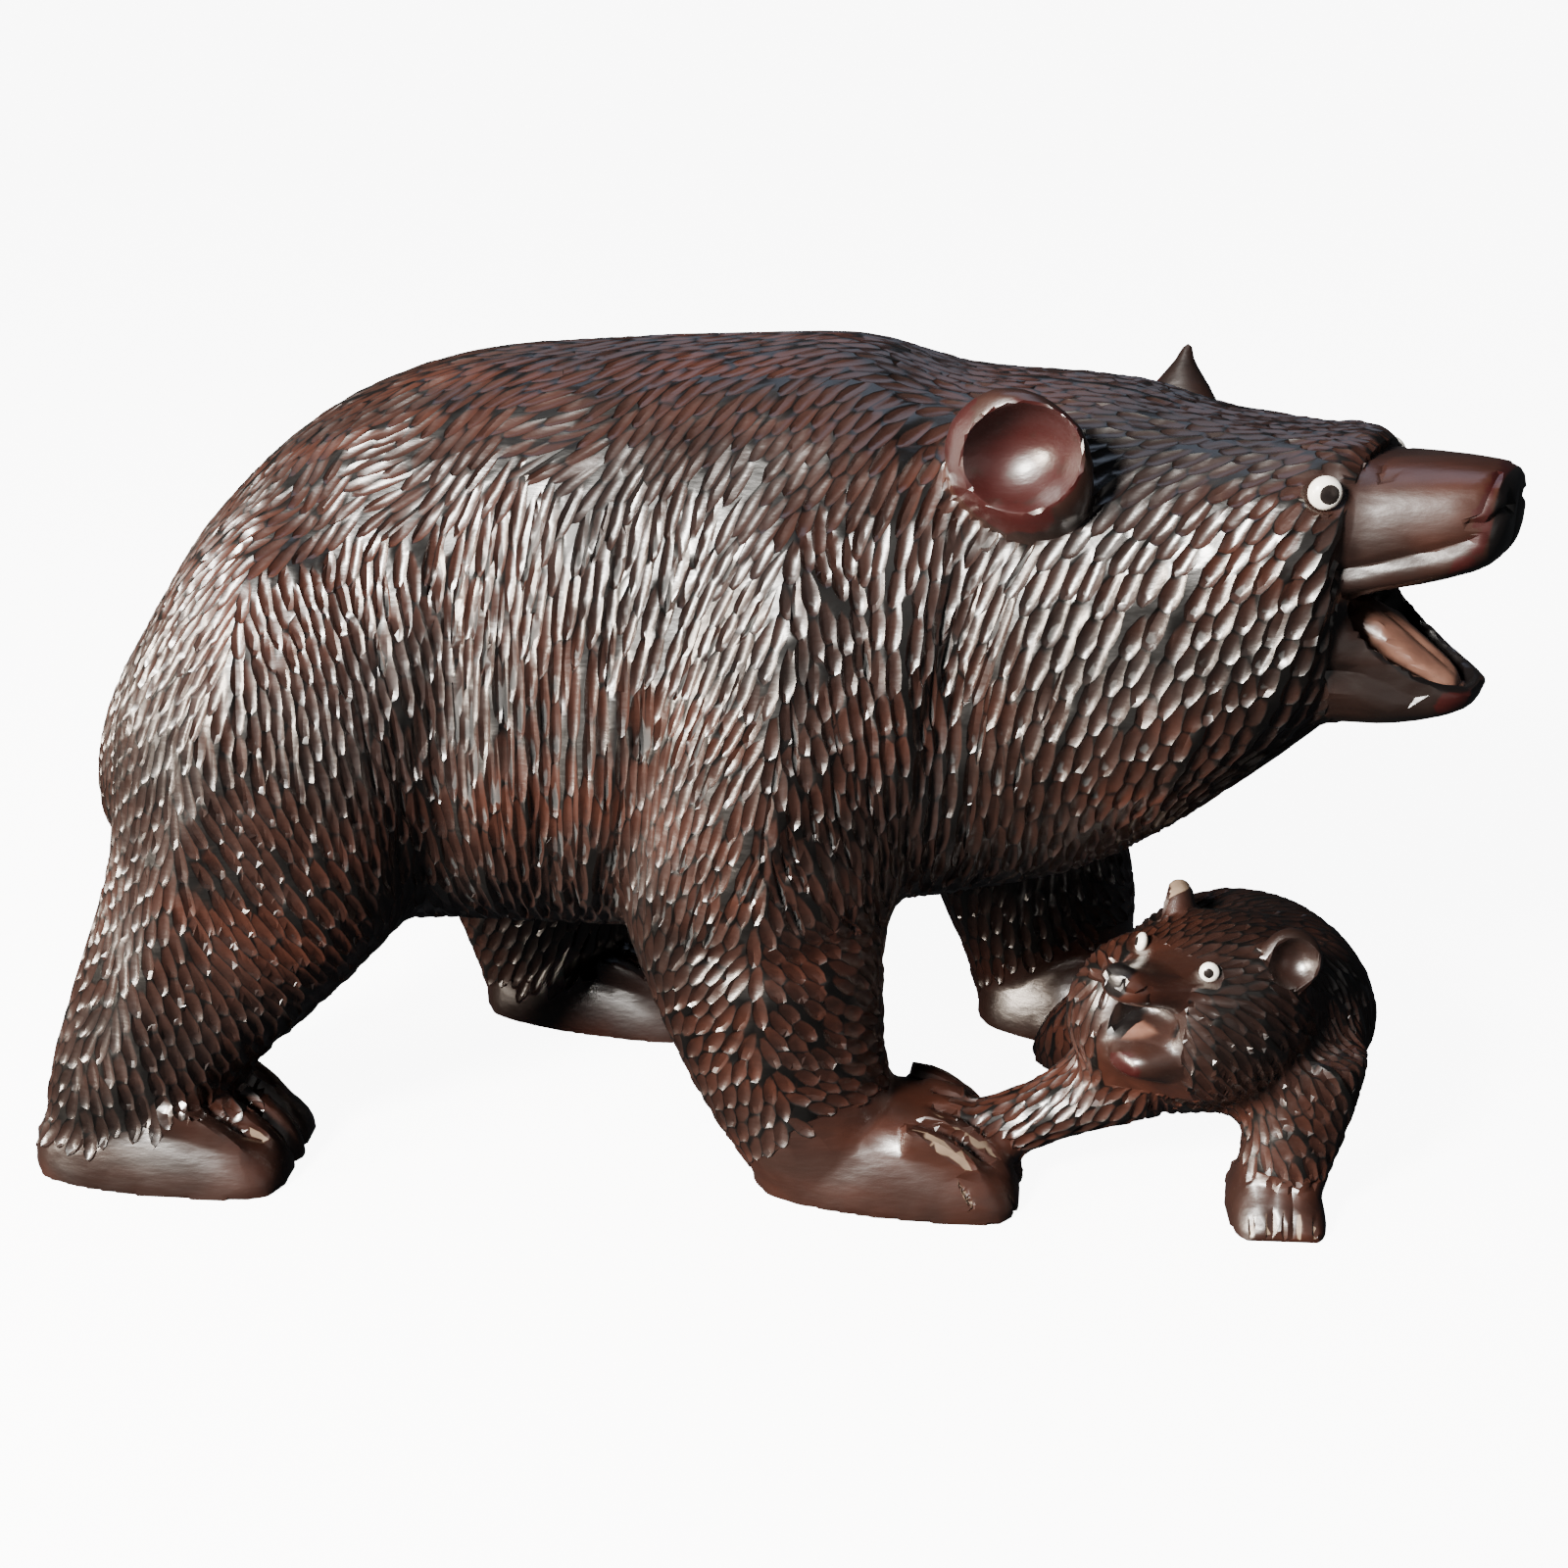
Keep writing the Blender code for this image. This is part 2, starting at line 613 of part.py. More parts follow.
def set_eyes(carving, head, frame, place, facing, diameter):
    """Seats a bead where the line of sight leaves the head, on both sides, each with its socket."""
    surface = BVHTree.FromObject(carving, bpy.context.evaluated_depsgraph_get())
    beads = []
    sockets = []
    for side, word in ((-1, "right"), (1, "left")):
        outward = Vector(mirrored(facing, side)).normalized()
        start = frame @ (Vector(mirrored(place, side)) + outward * EYE_SEARCH)
        aim = (frame.to_3x3() @ outward).normalized()
        hit = surface.ray_cast(start * STEP, -aim)[0]
        radius = diameter / 2
        sunk = radius * EYE_FLATNESS * (1 - 2 * EYE_PROUD)
        centre = frame.inverted() @ ((hit - aim * sunk) / STEP)
        sockets.append(eye_bead("socket", frame, centre, outward, radius + EYE_CLEARANCE))
        bead = eye_bead(f"{head}_{word}_eye", frame, centre, outward, radius)
        bead.data.shade_smooth()
        beads.append(bead)
    return beads, sockets


def carve():
    """The mother and cub as one closed solid, and the four eye beads."""
    rough = fuse(joined("rough", rough_bodies()), ROUGH_VOXEL, ROUGH_SMOOTHING)
    whole = joined("bear_and_cub", [rough] + crisp_bodies())
    fuse(whole, FINE_VOXEL, FINE_SMOOTHING)
    press_folds(whole)
    thinned(whole, CARVING_TRIANGLES)
    eyes, sockets = set_eyes(whole, "mother", MOTHER_HEAD, MOTHER_EYE_PLACE, MOTHER_EYE_FACING,
                             MOTHER_EYE_DIAMETER)
    cub_eyes, cub_sockets = set_eyes(whole, "cub", CUB_HEAD_FRAME, CUB_EYE_PLACE, CUB_EYE_FACING,
                                     CUB_EYE_DIAMETER)
    subtract(whole, joined("cuts", hollows() + [ground_block()] + sockets + cub_sockets))
    return whole, eyes + cub_eyes


def centre_on_ground(pieces):
    """Puts the origin on the ground under the middle of the carving's box."""
    corners = [corner.co for piece in pieces for corner in piece.data.vertices]
    middle = [(min(c[i] for c in corners) + max(c[i] for c in corners)) / 2 for i in range(2)]
    for piece in pieces:
        piece.data.transform(Matrix.Translation((-middle[0], -middle[1], 0)))


def main():
    carving, eyes = carve()
    centre_on_ground([carving] + eyes)
    lacquer = material("lacquered_wood", WALNUT_BLACK, 0.35)
    enamel = material("eye_white", EYE_WHITE, 0.3)
    for piece, finish in [(carving, lacquer)] + [(eye, enamel) for eye in eyes]:
        shapes.objects.unlink(piece)
        parts.objects.link(piece)
        piece.data.materials.clear()
        piece.data.materials.append(finish)


for old in list(bpy.data.objects):
    bpy.data.objects.remove(old)
parts = bpy.data.collections.new("carved_bear")
shapes = bpy.data.collections.new("shapes_and_cutters")
bpy.context.scene.collection.children.link(parts)
bpy.context.scene.collection.children.link(shapes)
main()
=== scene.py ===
import json
import math
import random
from collections import defaultdict, deque

import bpy
import numpy as np
from mathutils import Matrix, Vector
from mathutils.bvhtree import BVHTree

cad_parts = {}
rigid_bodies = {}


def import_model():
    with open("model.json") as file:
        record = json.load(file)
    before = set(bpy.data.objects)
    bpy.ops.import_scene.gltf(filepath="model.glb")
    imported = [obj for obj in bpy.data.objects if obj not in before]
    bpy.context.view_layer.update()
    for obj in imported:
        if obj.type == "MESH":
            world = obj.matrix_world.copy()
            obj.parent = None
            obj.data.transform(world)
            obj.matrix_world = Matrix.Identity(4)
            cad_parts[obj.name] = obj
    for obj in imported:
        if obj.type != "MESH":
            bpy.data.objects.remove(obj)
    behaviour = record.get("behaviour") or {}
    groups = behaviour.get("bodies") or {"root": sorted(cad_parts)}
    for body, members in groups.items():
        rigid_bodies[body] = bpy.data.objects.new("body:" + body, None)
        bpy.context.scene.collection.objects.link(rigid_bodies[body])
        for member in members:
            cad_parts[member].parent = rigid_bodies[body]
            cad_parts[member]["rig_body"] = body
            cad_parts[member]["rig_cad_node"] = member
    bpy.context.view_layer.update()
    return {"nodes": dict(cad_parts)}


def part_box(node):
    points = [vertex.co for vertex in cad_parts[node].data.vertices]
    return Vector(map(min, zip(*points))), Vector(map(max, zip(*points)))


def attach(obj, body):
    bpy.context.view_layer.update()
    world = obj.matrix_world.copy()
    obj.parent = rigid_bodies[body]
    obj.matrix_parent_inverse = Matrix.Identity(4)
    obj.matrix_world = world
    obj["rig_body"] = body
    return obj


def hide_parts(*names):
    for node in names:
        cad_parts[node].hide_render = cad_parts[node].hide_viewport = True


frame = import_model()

# The block: one piece of wood holds the mother, her cub and the tongues. The carver saws out
# the two figures and rounds them before any detail is cut. Sizes here are in millimetres
# from the carver's drawing, which lies a little off the middle of the finished carving.
MM = 0.001
DRAWING_SHIFT = (14.45, 4.05, 0.0)
DRAWING = Matrix.Scale(MM, 4) @ Matrix.Translation(DRAWING_SHIFT)
BLOCK_VOXEL = 1.3
BLOCK_ROUNDING = 16


def pick(*pieces):
    bpy.ops.object.select_all(action="DESELECT")
    for piece in pieces:
        piece.select_set(True)
    bpy.context.view_layer.objects.active = pieces[0]


def work(piece, kind, **settings):
    """Puts one modifier on a piece and applies it."""
    pick(piece)
    step = piece.modifiers.new(kind.lower(), kind)
    for setting, value in settings.items():
        setattr(step, setting, value)
    bpy.ops.object.modifier_apply(modifier=step.name)
    return piece


def joined(*pieces):
    pick(*pieces)
    bpy.ops.object.join()
    return pieces[0]


def points_of(piece):
    """The piece's points in the drawing's millimetres."""
    points = np.empty(len(piece.data.vertices) * 3)
    piece.data.vertices.foreach_get("co", points)
    return points.reshape(-1, 3) / MM - DRAWING_SHIFT


def normals_of(piece):
    normals = np.empty(len(piece.data.vertices) * 3)
    piece.data.vertices.foreach_get("normal", normals)
    return normals.reshape(-1, 3)


def place_points(piece, points):
    piece.data.vertices.foreach_set("co", ((points + DRAWING_SHIFT) * MM).ravel())
    piece.data.update()


rough_block = frame["nodes"]["bear_and_cub"]
carving = rough_block.copy()
carving.data = rough_block.data.copy()
carving.name = "carved_bear_and_cub"
carving.parent = None
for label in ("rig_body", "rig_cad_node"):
    del carving[label]
bpy.context.scene.collection.objects.link(carving)
pick(carving)
bpy.ops.object.mode_set(mode="EDIT")
bpy.ops.mesh.select_all(action="SELECT")
bpy.ops.mesh.remove_doubles(threshold=0.00001)
bpy.ops.object.mode_set(mode="OBJECT")
work(carving, "REMESH", mode="VOXEL", voxel_size=BLOCK_VOXEL * MM)
work(carving, "SMOOTH", factor=0.5, iterations=BLOCK_ROUNDING)

# The mother's muzzle and jaw: cut smooth and crisp out of the same block, with a saw cut
# and a gouge for the open mouth. The tongue is left standing in it. Her head has its own
# lines, in millimetres forward, to her left and up from the middle of her skull.
HEAD_PLACE = (92, -14, 205)
HEAD_TURN = 28.5
# Rows: forward, top, widest height, underside, half width, squareness.
MUZZLE = (
    (64, 22, 4, -20, 30, 2.6),
    (84, 23.8, -1, -15, 28, 3.0),
    (93, 24.2, 0, -11.5, 26, 3.1),
    (102, 24.4, 2, -8.8, 23.2, 3.2),
    (111, 24.4, 4, -5.5, 20.4, 3.2),
    (117.5, 23.8, 7, -2.6, 17.6, 3.2),
    (120.8, 21.5, 9, 1, 14.5, 3.0),
    (122.2, 17.5, 11, 5, 9.5, 2.6),
)
JAW = (
    (58, -10, -36, -58, 34, 2.4),
    (78, -10, -34, -52.5, 30.5, 2.6),
    (88, -15, -34, -50.8, 27, 2.7),
    (97, -26, -37, -49.8, 23.3, 2.7),
    (106, -31.5, -38.5, -47.5, 19.2, 2.7),
    (113, -35, -39.5, -45, 15, 2.6),
    (118, -36.5, -39.5, -42.5, 9, 2.4),
)
TONGUE = (
    (70, -19, -25, -36, 9.5, 2.3),
    (84, -18, -24, -37, 10, 2.4),
    (92, -21, -27, -38, 9.8, 2.5),
    (102, -27.8, -32, -40, 8.8, 2.5),
    (109, -32.5, -35.5, -41, 7, 2.4),
    (112.5, -35.5, -38, -41, 4, 2.2),
)
MOUTH_GOUGE = (
    (75, -15, -20, -28, 12, 2.2),
    (83, -11, -20, -32, 19, 2.4),
    (90, -8, -21, -36, 21.8, 2.5),
    (98, -5, -24, -39.5, 20, 2.5),
    (106, -3, -28, -41, 16.2, 2.5),
    (112, -3, -30, -40.5, 11.8, 2.4),
    (115.3, -5, -31, -38.5, 6.5, 2.2),
)
MOUTH_SAW_CUT = ((86.5, -13), (93.3, -9.9), (104.1, -7.9), (111.5, -5.9), (116, -3.2), (140, -2),
                 (140, -37), (113.4, -35.9), (104.6, -32.1), (94.4, -25.3))
RING_POINTS = 48


def head_frame(place, turn):
    """From a head's forward, left and up to the drawing."""
    return Matrix.Translation(place) @ Matrix.Rotation(math.radians(-turn), 4, "Z")


def eased(rows, pieces):
    """Adds smooth rows between the given ones."""
    rows = np.array(rows, dtype=float)
    padded = np.vstack([2 * rows[0] - rows[1], rows, 2 * rows[-1] - rows[-2]])
    out = []
    for i in range(1, len(padded) - 2):
        p0, p1, p2, p3 = padded[i - 1:i + 3]
        for k in range(pieces):
            t = k / pieces
            out.append(0.5 * (2 * p1 + (p2 - p0) * t + (2 * p0 - 5 * p1 + 4 * p2 - p3) * t ** 2
                              + (3 * p1 - p0 - 3 * p2 + p3) * t ** 3))
    out.append(padded[-2])
    return np.array(out)


def squared(angle, squareness):
    across = math.copysign(abs(math.cos(angle)) ** (2 / squareness), math.cos(angle))
    up = math.copysign(abs(math.sin(angle)) ** (2 / squareness), math.sin(angle))
    return across, up


def skin_over(name, rings, place=DRAWING):
    """A closed body over rings of the drawing's points."""
    count = len(rings[0])
    spots = [place @ Vector(p) for ring in rings for p in ring]
    faces = []
    for r in range(len(rings) - 1):
        for i in range(count):
            j = (i + 1) % count
            faces.append((r * count + i, r * count + j, (r + 1) * count + j, (r + 1) * count + i))
    faces.append(tuple(range(count))[::-1])
    faces.append(tuple(range((len(rings) - 1) * count, len(rings) * count)))
    mesh = bpy.data.meshes.new(name)
    mesh.from_pydata(spots, [], faces)
    piece = bpy.data.objects.new(name, mesh)
    bpy.context.scene.collection.objects.link(piece)
    pick(piece)
    bpy.ops.object.mode_set(mode="EDIT")
    bpy.ops.mesh.select_all(action="SELECT")
    bpy.ops.mesh.normals_make_consistent(inside=False)
    bpy.ops.object.mode_set(mode="OBJECT")
    return piece


def upright_loft(name, rows, frame_matrix, pieces=3):
    """A body whose sections stand across the way it points."""
    rings = []
    for forward, top, wide, under, half, square in eased(rows, pieces):
        ring = []
        for i in range(RING_POINTS):
            across, up = squared(2 * math.pi * i / RING_POINTS, square)
            height = wide + (top - wide) * up if up > 0 else wide + (wide - under) * up
            ring.append(frame_matrix @ Vector((forward, half * across, height)))
        rings.append(ring)
    return skin_over(name, rings)


def saw_cut(name, outline, half, frame_matrix):
    rings = [[frame_matrix @ Vector((a, side, c)) for a, c in outline] for side in (-half, half)]
    return skin_over(name, rings)


def round_form(name, centre, radii, facing, frame_matrix):
    """A ball stretched along three ways, the second of them its facing."""
    bpy.ops.mesh.primitive_uv_sphere_add(segments=40, ring_count=20, radius=1.0)
    piece = bpy.context.object
    piece.name = name
    turn = Vector((0, 1, 0)).rotation_difference(Vector(facing)).to_matrix().to_4x4()
    place = DRAWING @ frame_matrix @ Matrix.Translation(centre)
    piece.data.transform(place @ turn @ Matrix.Diagonal((*radii, 1)))
    return piece


def cut_out(piece, cutter):
    """Takes one form out of another, and the cutter away."""
    pick(piece)
    step = piece.modifiers.new("cut", "BOOLEAN")
    step.operation = "DIFFERENCE"
    step.solver = "EXACT"
    step.object = cutter
    bpy.ops.object.modifier_apply(modifier=step.name)
    bpy.data.objects.remove(cutter)
    return piece


def skin_tree(piece):
    spots = [Vector(p) for p in points_of(piece)]
    return BVHTree.FromPolygons(spots, [tuple(face.vertices) for face in piece.data.polygons])


mother_head = head_frame(HEAD_PLACE, HEAD_TURN)
added = [upright_loft("muzzle", MUZZLE, mother_head), upright_loft("jaw", JAW, mother_head)]
tongue = upright_loft("tongue", TONGUE, mother_head)
tongue_skin = skin_tree(tongue)
added.append(upright_loft("tongue_left_standing", TONGUE, mother_head))
mouth = saw_cut("mouth_saw_cut", MOUTH_SAW_CUT, 45, mother_head)
work(joined(mouth, upright_loft("mouth_gouge", MOUTH_GOUGE, mother_head)), "REMESH", mode="VOXEL",
     voxel_size=0.7 * MM)
mouth_skin = skin_tree(mouth)
cut_out(mouth, tongue)
cuts = [mouth]

# The mother's ears: the right one is a wide cup with a heavy rim, the left one stands up to
# a point, and both are hollowed with a large gouge.
# Rows: height, back, front, outer side, inner side, squareness.
RIGHT_EAR = (
    (1, -4, 14, 58, 40, 2.1),
    (8, -14, 21, 63, 42, 2.1),
    (16, -18.5, 24, 66, 44, 2.1),
    (25, -19, 24, 67, 47, 2.1),
    (33, -15.5, 21, 67, 50, 2.1),
    (39, -9, 13, 65, 53, 2.0),
    (41.8, -3, 6, 63, 56, 2.0),
)
LEFT_EAR = (
    (-2, -2, 16, 56, 38, 2.1),
    (8, -8, 20, 63, 42, 2.1),
    (17, -9, 19, 65, 47, 2.1),
    (25, -5, 14, 65, 51, 2.1),
    (32, 0, 8, 64, 56, 2.0),
    (38, 3, 5.5, 63, 60, 2.0),
)
EAR_FACING = (0.76, 0.62, 0.20)
EAR_CUPS = {-1: ((8.5, 70.5, 24.4), (18.0, 20.0, 15.4)), 1: ((7, 67, 15), (11, 11, 13))}


def level_loft(name, rows, frame_matrix, side, pieces=3):
    """A body whose sections lie level, such as an ear."""
    rings = []
    for height, back, front, outer, inner, square in eased(rows, pieces):
        ring = []
        for i in range(RING_POINTS):
            along, across = squared(2 * math.pi * i / RING_POINTS, square)
            ring.append(frame_matrix @ Vector(((back + front) / 2 + (front - back) / 2 * along,
                                               side * ((outer + inner) / 2 + (outer - inner) / 2 * across),
                                               height)))
        rings.append(ring)
    return skin_over(name, rings)


ear_skins = []
for side, rows in ((-1, RIGHT_EAR), (1, LEFT_EAR)):
    ear = level_loft("ear", rows, mother_head, side)
    centre, radii = EAR_CUPS[side]
    cup = round_form("ear_cup", (centre[0], centre[1] * side, centre[2]), radii,
                     (EAR_FACING[0], EAR_FACING[1] * side, EAR_FACING[2]), mother_head)
    ear_skins.extend((skin_tree(ear), skin_tree(cup)))
    added.append(ear)
    cuts.append(cup)

# The feet: smooth, rounded shoes below the shaggy legs, with long claws cut as flat facets
# that show the paler wood where the knife went through the stain.
# Rows: forward from the heel, top, half width. Each foot has a place and a turn.
FOOT = ((0, 12, 10), (8, 21, 19), (30, 31, 25), (52, 28.5, 27), (70, 20, 27), (79, 12, 24), (83, 5, 17))
FEET = {
    "near_hind": (-233, -64, 0),
    "near_fore": (-5, -60, -3),
    "far_hind": (-111, 52, -8),
    "far_fore": (70, 54, -14),
}
FUR_LINE_HIND = ((0, 10, 35, 60, 80), (11, 14, 19, 31, 36))
FUR_LINE_FORE = ((0, 8, 20, 47, 80), (10, 24, 31, 41, 46))
CLAW = ((54, 28.3, 3.4), (61, 27.4, 3.6), (68, 24.2, 3.4), (76, 18, 2.8), (81.5, 10.6, 2.0), (84, 3, 1.2))
CLAW_PLACES = (-19, -9.5, 0, 9.5, 19)
CLAW_BACK = 7


def foot_frame(place):
    x, y, turn = place
    return Matrix.Translation((x, y, 0)) @ Matrix.Rotation(math.radians(turn), 4, "Z")


def claw_shift(across):
    """How far the outer claws stand back from the middle one."""
    return -CLAW_BACK * (across / CLAW_PLACES[-1]) ** 2


foot_frames = {}
for foot, place in FEET.items():
    foot_frames[foot] = foot_frame(place)
    rows = [(forward, top, -2, -8, half, 2.3) for forward, top, half in FOOT]
    added.append(upright_loft(foot, rows, foot_frames[foot]))
    for across in CLAW_PLACES:
        rows = [(forward, height, height - 1.5, height - 9, half, 5) for forward, height, half in CLAW]
        shift = Matrix.Translation((claw_shift(across), across, 0))
        added.append(upright_loft("claw", rows, foot_frames[foot] @ shift))

# The cub: cut from the corner of the block beside her forefoot, with its own open mouth,
# cupped ears and a shaggy ruff around a smooth face.
CUB_HEAD_PLACE = (138.5, -58.5, 72)
CUB_HEAD_TURN = 138
CUB_MUZZLE = (
    (26, 12, 6, -2.5, 14.5, 2.4),
    (34, 13, 7, 0, 12, 2.6),
    (42, 14.5, 9, 3, 9.5, 2.6),
    (48, 17, 11, 5, 8.3, 2.5),
    (52, 16.8, 12, 7, 6.5, 2.4),
    (53.8, 14.5, 12, 9, 3.5, 2.2),
)
CUB_JAW = (
    (24, -8, -16, -28, 15, 2.3),
    (34, -9.5, -15.5, -24.5, 12, 2.4),
    (42, -10.5, -15, -21, 9, 2.4),
    (47, -12, -15, -18.5, 5.5, 2.2),
)
CUB_MOUTH_SAW_CUT = ((31, -4.8), (39, -1), (46, 1.8), (62, 4.5), (62, -11), (46, -10.2), (38, -8.2))
CUB_EAR_PLACE = (2, 22, 13)
CUB_EAR_FACING = (0.62, 0.76, 0.18)
cub_head = head_frame(CUB_HEAD_PLACE, CUB_HEAD_TURN)
cub_forms = [upright_loft("cub_muzzle", CUB_MUZZLE, cub_head), upright_loft("cub_jaw", CUB_JAW, cub_head)]
cub_ears = []
cub_cups = []
for side in (-1, 1):
    facing = Vector((CUB_EAR_FACING[0], CUB_EAR_FACING[1] * side, CUB_EAR_FACING[2])).normalized()
    centre = Vector((CUB_EAR_PLACE[0], CUB_EAR_PLACE[1] * side, CUB_EAR_PLACE[2]))
    cub_ears.append(round_form("cub_ear", centre, (9.2, 5.8, 9.7), facing, cub_head))
    cub_cups.append(round_form("cub_ear_cup", centre + facing * 5.2, (7.2, 7, 7.4), facing, cub_head))
cub_ear_skins = [skin_tree(form) for form in cub_ears + cub_cups]
cuts.extend(cub_cups)
cub_mouth = saw_cut("cub_mouth", CUB_MOUTH_SAW_CUT, 9, cub_head)
cub_mouth_skin = skin_tree(cub_mouth)
cuts.append(cub_mouth)
added.extend(cub_forms + cub_ears)
CUB_FOOT = ((-60, 15, 12), (-72, 17, 14.5), (-82, 15, 15), (-90, 9.5, 13.5), (-94, 4, 10))
CUB_FOOT_ALONG = 154
cub_foot_frame = Matrix.Translation((CUB_FOOT_ALONG, 0, 0)) @ Matrix.Rotation(math.radians(-90), 4, "Z")
rows = [(-y, top, -2, -6, half, 2.3) for y, top, half in CUB_FOOT]
added.append(upright_loft("cub_foot", rows, cub_foot_frame))

# The fur: thousands of cuts with a small round gouge, each pushed in from a shallow point to
# a steep round end, in rows that follow the lie of the coat and part along the legs.
# Places are along and up; directions are along, outwards from her spine, and up.
NEAR_COAT = (
    (-213, 150, -0.75, 0.1, -0.65, 14, 3.0, 0.8),
    (-180, 205, -0.8, 0.25, -0.5, 15, 3.0, 0.8),
    (-120, 240, -0.95, 0.25, -0.15, 18, 3.0, 0.7),
    (-60, 249, -0.95, 0.3, -0.1, 20, 3.0, 0.7),
    (0, 250, -0.95, 0.3, -0.1, 18, 3.2, 0.7),
    (50, 244, -0.95, 0.25, 0.0, 18, 3.2, 0.7),
    (-90, 228, -0.55, 0.3, -0.75, 18, 3.2, 0.8),
    (-40, 230, -0.5, 0.3, -0.8, 18, 3.2, 0.8),
    (10, 232, -0.55, 0.3, -0.75, 15, 3.6, 0.8),
    (50, 228, -0.5, 0.3, -0.8, 15, 3.6, 0.8),
    (-157, 219, -0.65, 0.1, -0.75, 15, 3.1, 0.9),
    (-131, 219, -0.1, 0.1, -0.99, 15, 3.1, 0.9),
    (-161, 178, -0.55, 0, -0.83, 16, 3.3, 1.0),
    (-136, 178, 0.22, 0, -0.97, 16, 3.3, 1.0),
    (-195, 150, -0.45, 0, -0.89, 15, 3.3, 1.0),
    (-181, 114, -0.5, 0, -0.87, 16, 3.3, 1.0),
    (-155, 114, 0.42, 0, -0.9, 17, 3.3, 1.0),
    (-112, 178, 0.1, 0, -0.99, 17, 3.3, 1.0),
    (-108, 120, 0.15, 0, -0.98, 17, 3.3, 1.1),
    (-125, 95, 0.4, 0, -0.9, 18, 3.6, 1.1),
    (-150, 80, 0.5, 0, -0.85, 17, 3.6, 1.0),
    (-195, 95, -0.3, 0, -0.95, 14, 3.2, 0.9),
    (-208, 62, -0.72, 0, -0.7, 17, 3.8, 1.0),
    (-184, 62, 0.15, 0, -0.98, 16, 3.8, 1.0),
    (-160, 50, 0.2, 0, -0.97, 16, 3.8, 1.0),
    (-224, 30, -0.75, 0, -0.66, 15, 3.8, 0.9),
    (-200, 30, 0.05, 0, -1.0, 15, 3.8, 1.0),
    (-176, 34, 0.15, 0, -0.98, 15, 3.8, 1.0),
    (-70, 200, -0.1, 0, -0.99, 26, 3.4, 1.2),
    (-30, 200, -0.1, 0, -0.99, 26, 3.4, 1.2),
    (-75, 150, -0.02, 0, -1.0, 28, 3.2, 1.3),
    (-45, 150, -0.05, 0, -1.0, 28, 3.2, 1.3),
    (-78, 100, 0.0, 0, -1.0, 24, 3.2, 1.2),
    (-50, 100, -0.12, 0, -0.99, 24, 3.2, 1.2),
    (-22, 190, -0.28, 0, -0.96, 18, 3.3, 1.0),
    (-20, 150, -0.33, 0, -0.94, 18, 3.2, 0.9),
    (-10, 112, -0.38, 0, -0.92, 15, 3.0, 0.8),
    (-26, 100, -0.3, 0, -0.95, 16, 3.2, 0.8),
    (-6, 190, -0.4, 0, -0.91, 16, 3.5, 1.0),
    (-10, 150, -0.48, 0, -0.88, 16, 3.3, 1.0),
    (16, 190, 0.1, 0, -0.99, 14, 4.1, 1.1),
    (13, 150, 0.15, 0, -0.98, 14, 4.0, 1.1),
    (10, 112, 0.35, 0, -0.93, 15, 3.3, 0.9),
    (34, 150, 0.12, 0, -0.99, 18, 3.6, 1.1),
    (28, 110, 0.3, 0, -0.95, 17, 3.4, 1.0),
    (40, 200, -0.2, 0, -0.97, 18, 3.8, 1.0),
    (62, 180, -0.28, 0, -0.96, 24, 3.4, 1.1),
    (56, 130, -0.05, 0, -1.0, 24, 3.6, 1.2),
    (70, 100, 0.0, 0, -1.0, 22, 3.6, 1.2),
    (-14, 84, -0.6, 0, -0.78, 14, 3.8, 0.9),
    (10, 86, 0.7, 0, -0.7, 13, 3.8, 0.9),
    (26, 80, 0.85, 0, -0.5, 13, 3.8, 0.9),
    (-16, 58, -0.55, 0, -0.83, 14, 3.9, 1.0),
    (14, 58, 0.65, 0, -0.75, 13, 3.9, 1.0),
    (28, 58, 0.9, 0, -0.4, 13, 3.9, 1.0),
    (-18, 34, -0.3, 0, -0.95, 13, 3.9, 0.9),
    (-4, 34, -0.15, 0, -0.98, 13, 3.9, 0.9),
    (16, 38, 0.9, 0, -0.4, 12, 3.6, 0.8),
    (32, 42, 0.97, 0, -0.2, 12, 3.6, 0.8),
)
FAR_LEG_SHIFT = ((30, 110, 160, 222), (100, 62, 35, 14))
UNDER_COAT = (
    (-190, 0, 70, -0.3, 0, -0.95, 18, 4.4, 0.8),
    (-150, 0, 66, -1.0, 0, 0, 20, 4.6, 0.8),
    (-60, 0, 65, -1.0, 0, 0, 20, 4.6, 0.8),
    (20, 0, 72, -1.0, 0, 0, 20, 4.6, 0.8),
    (75, 0, 80, -0.7, 0, -0.7, 20, 4.4, 0.9),
)
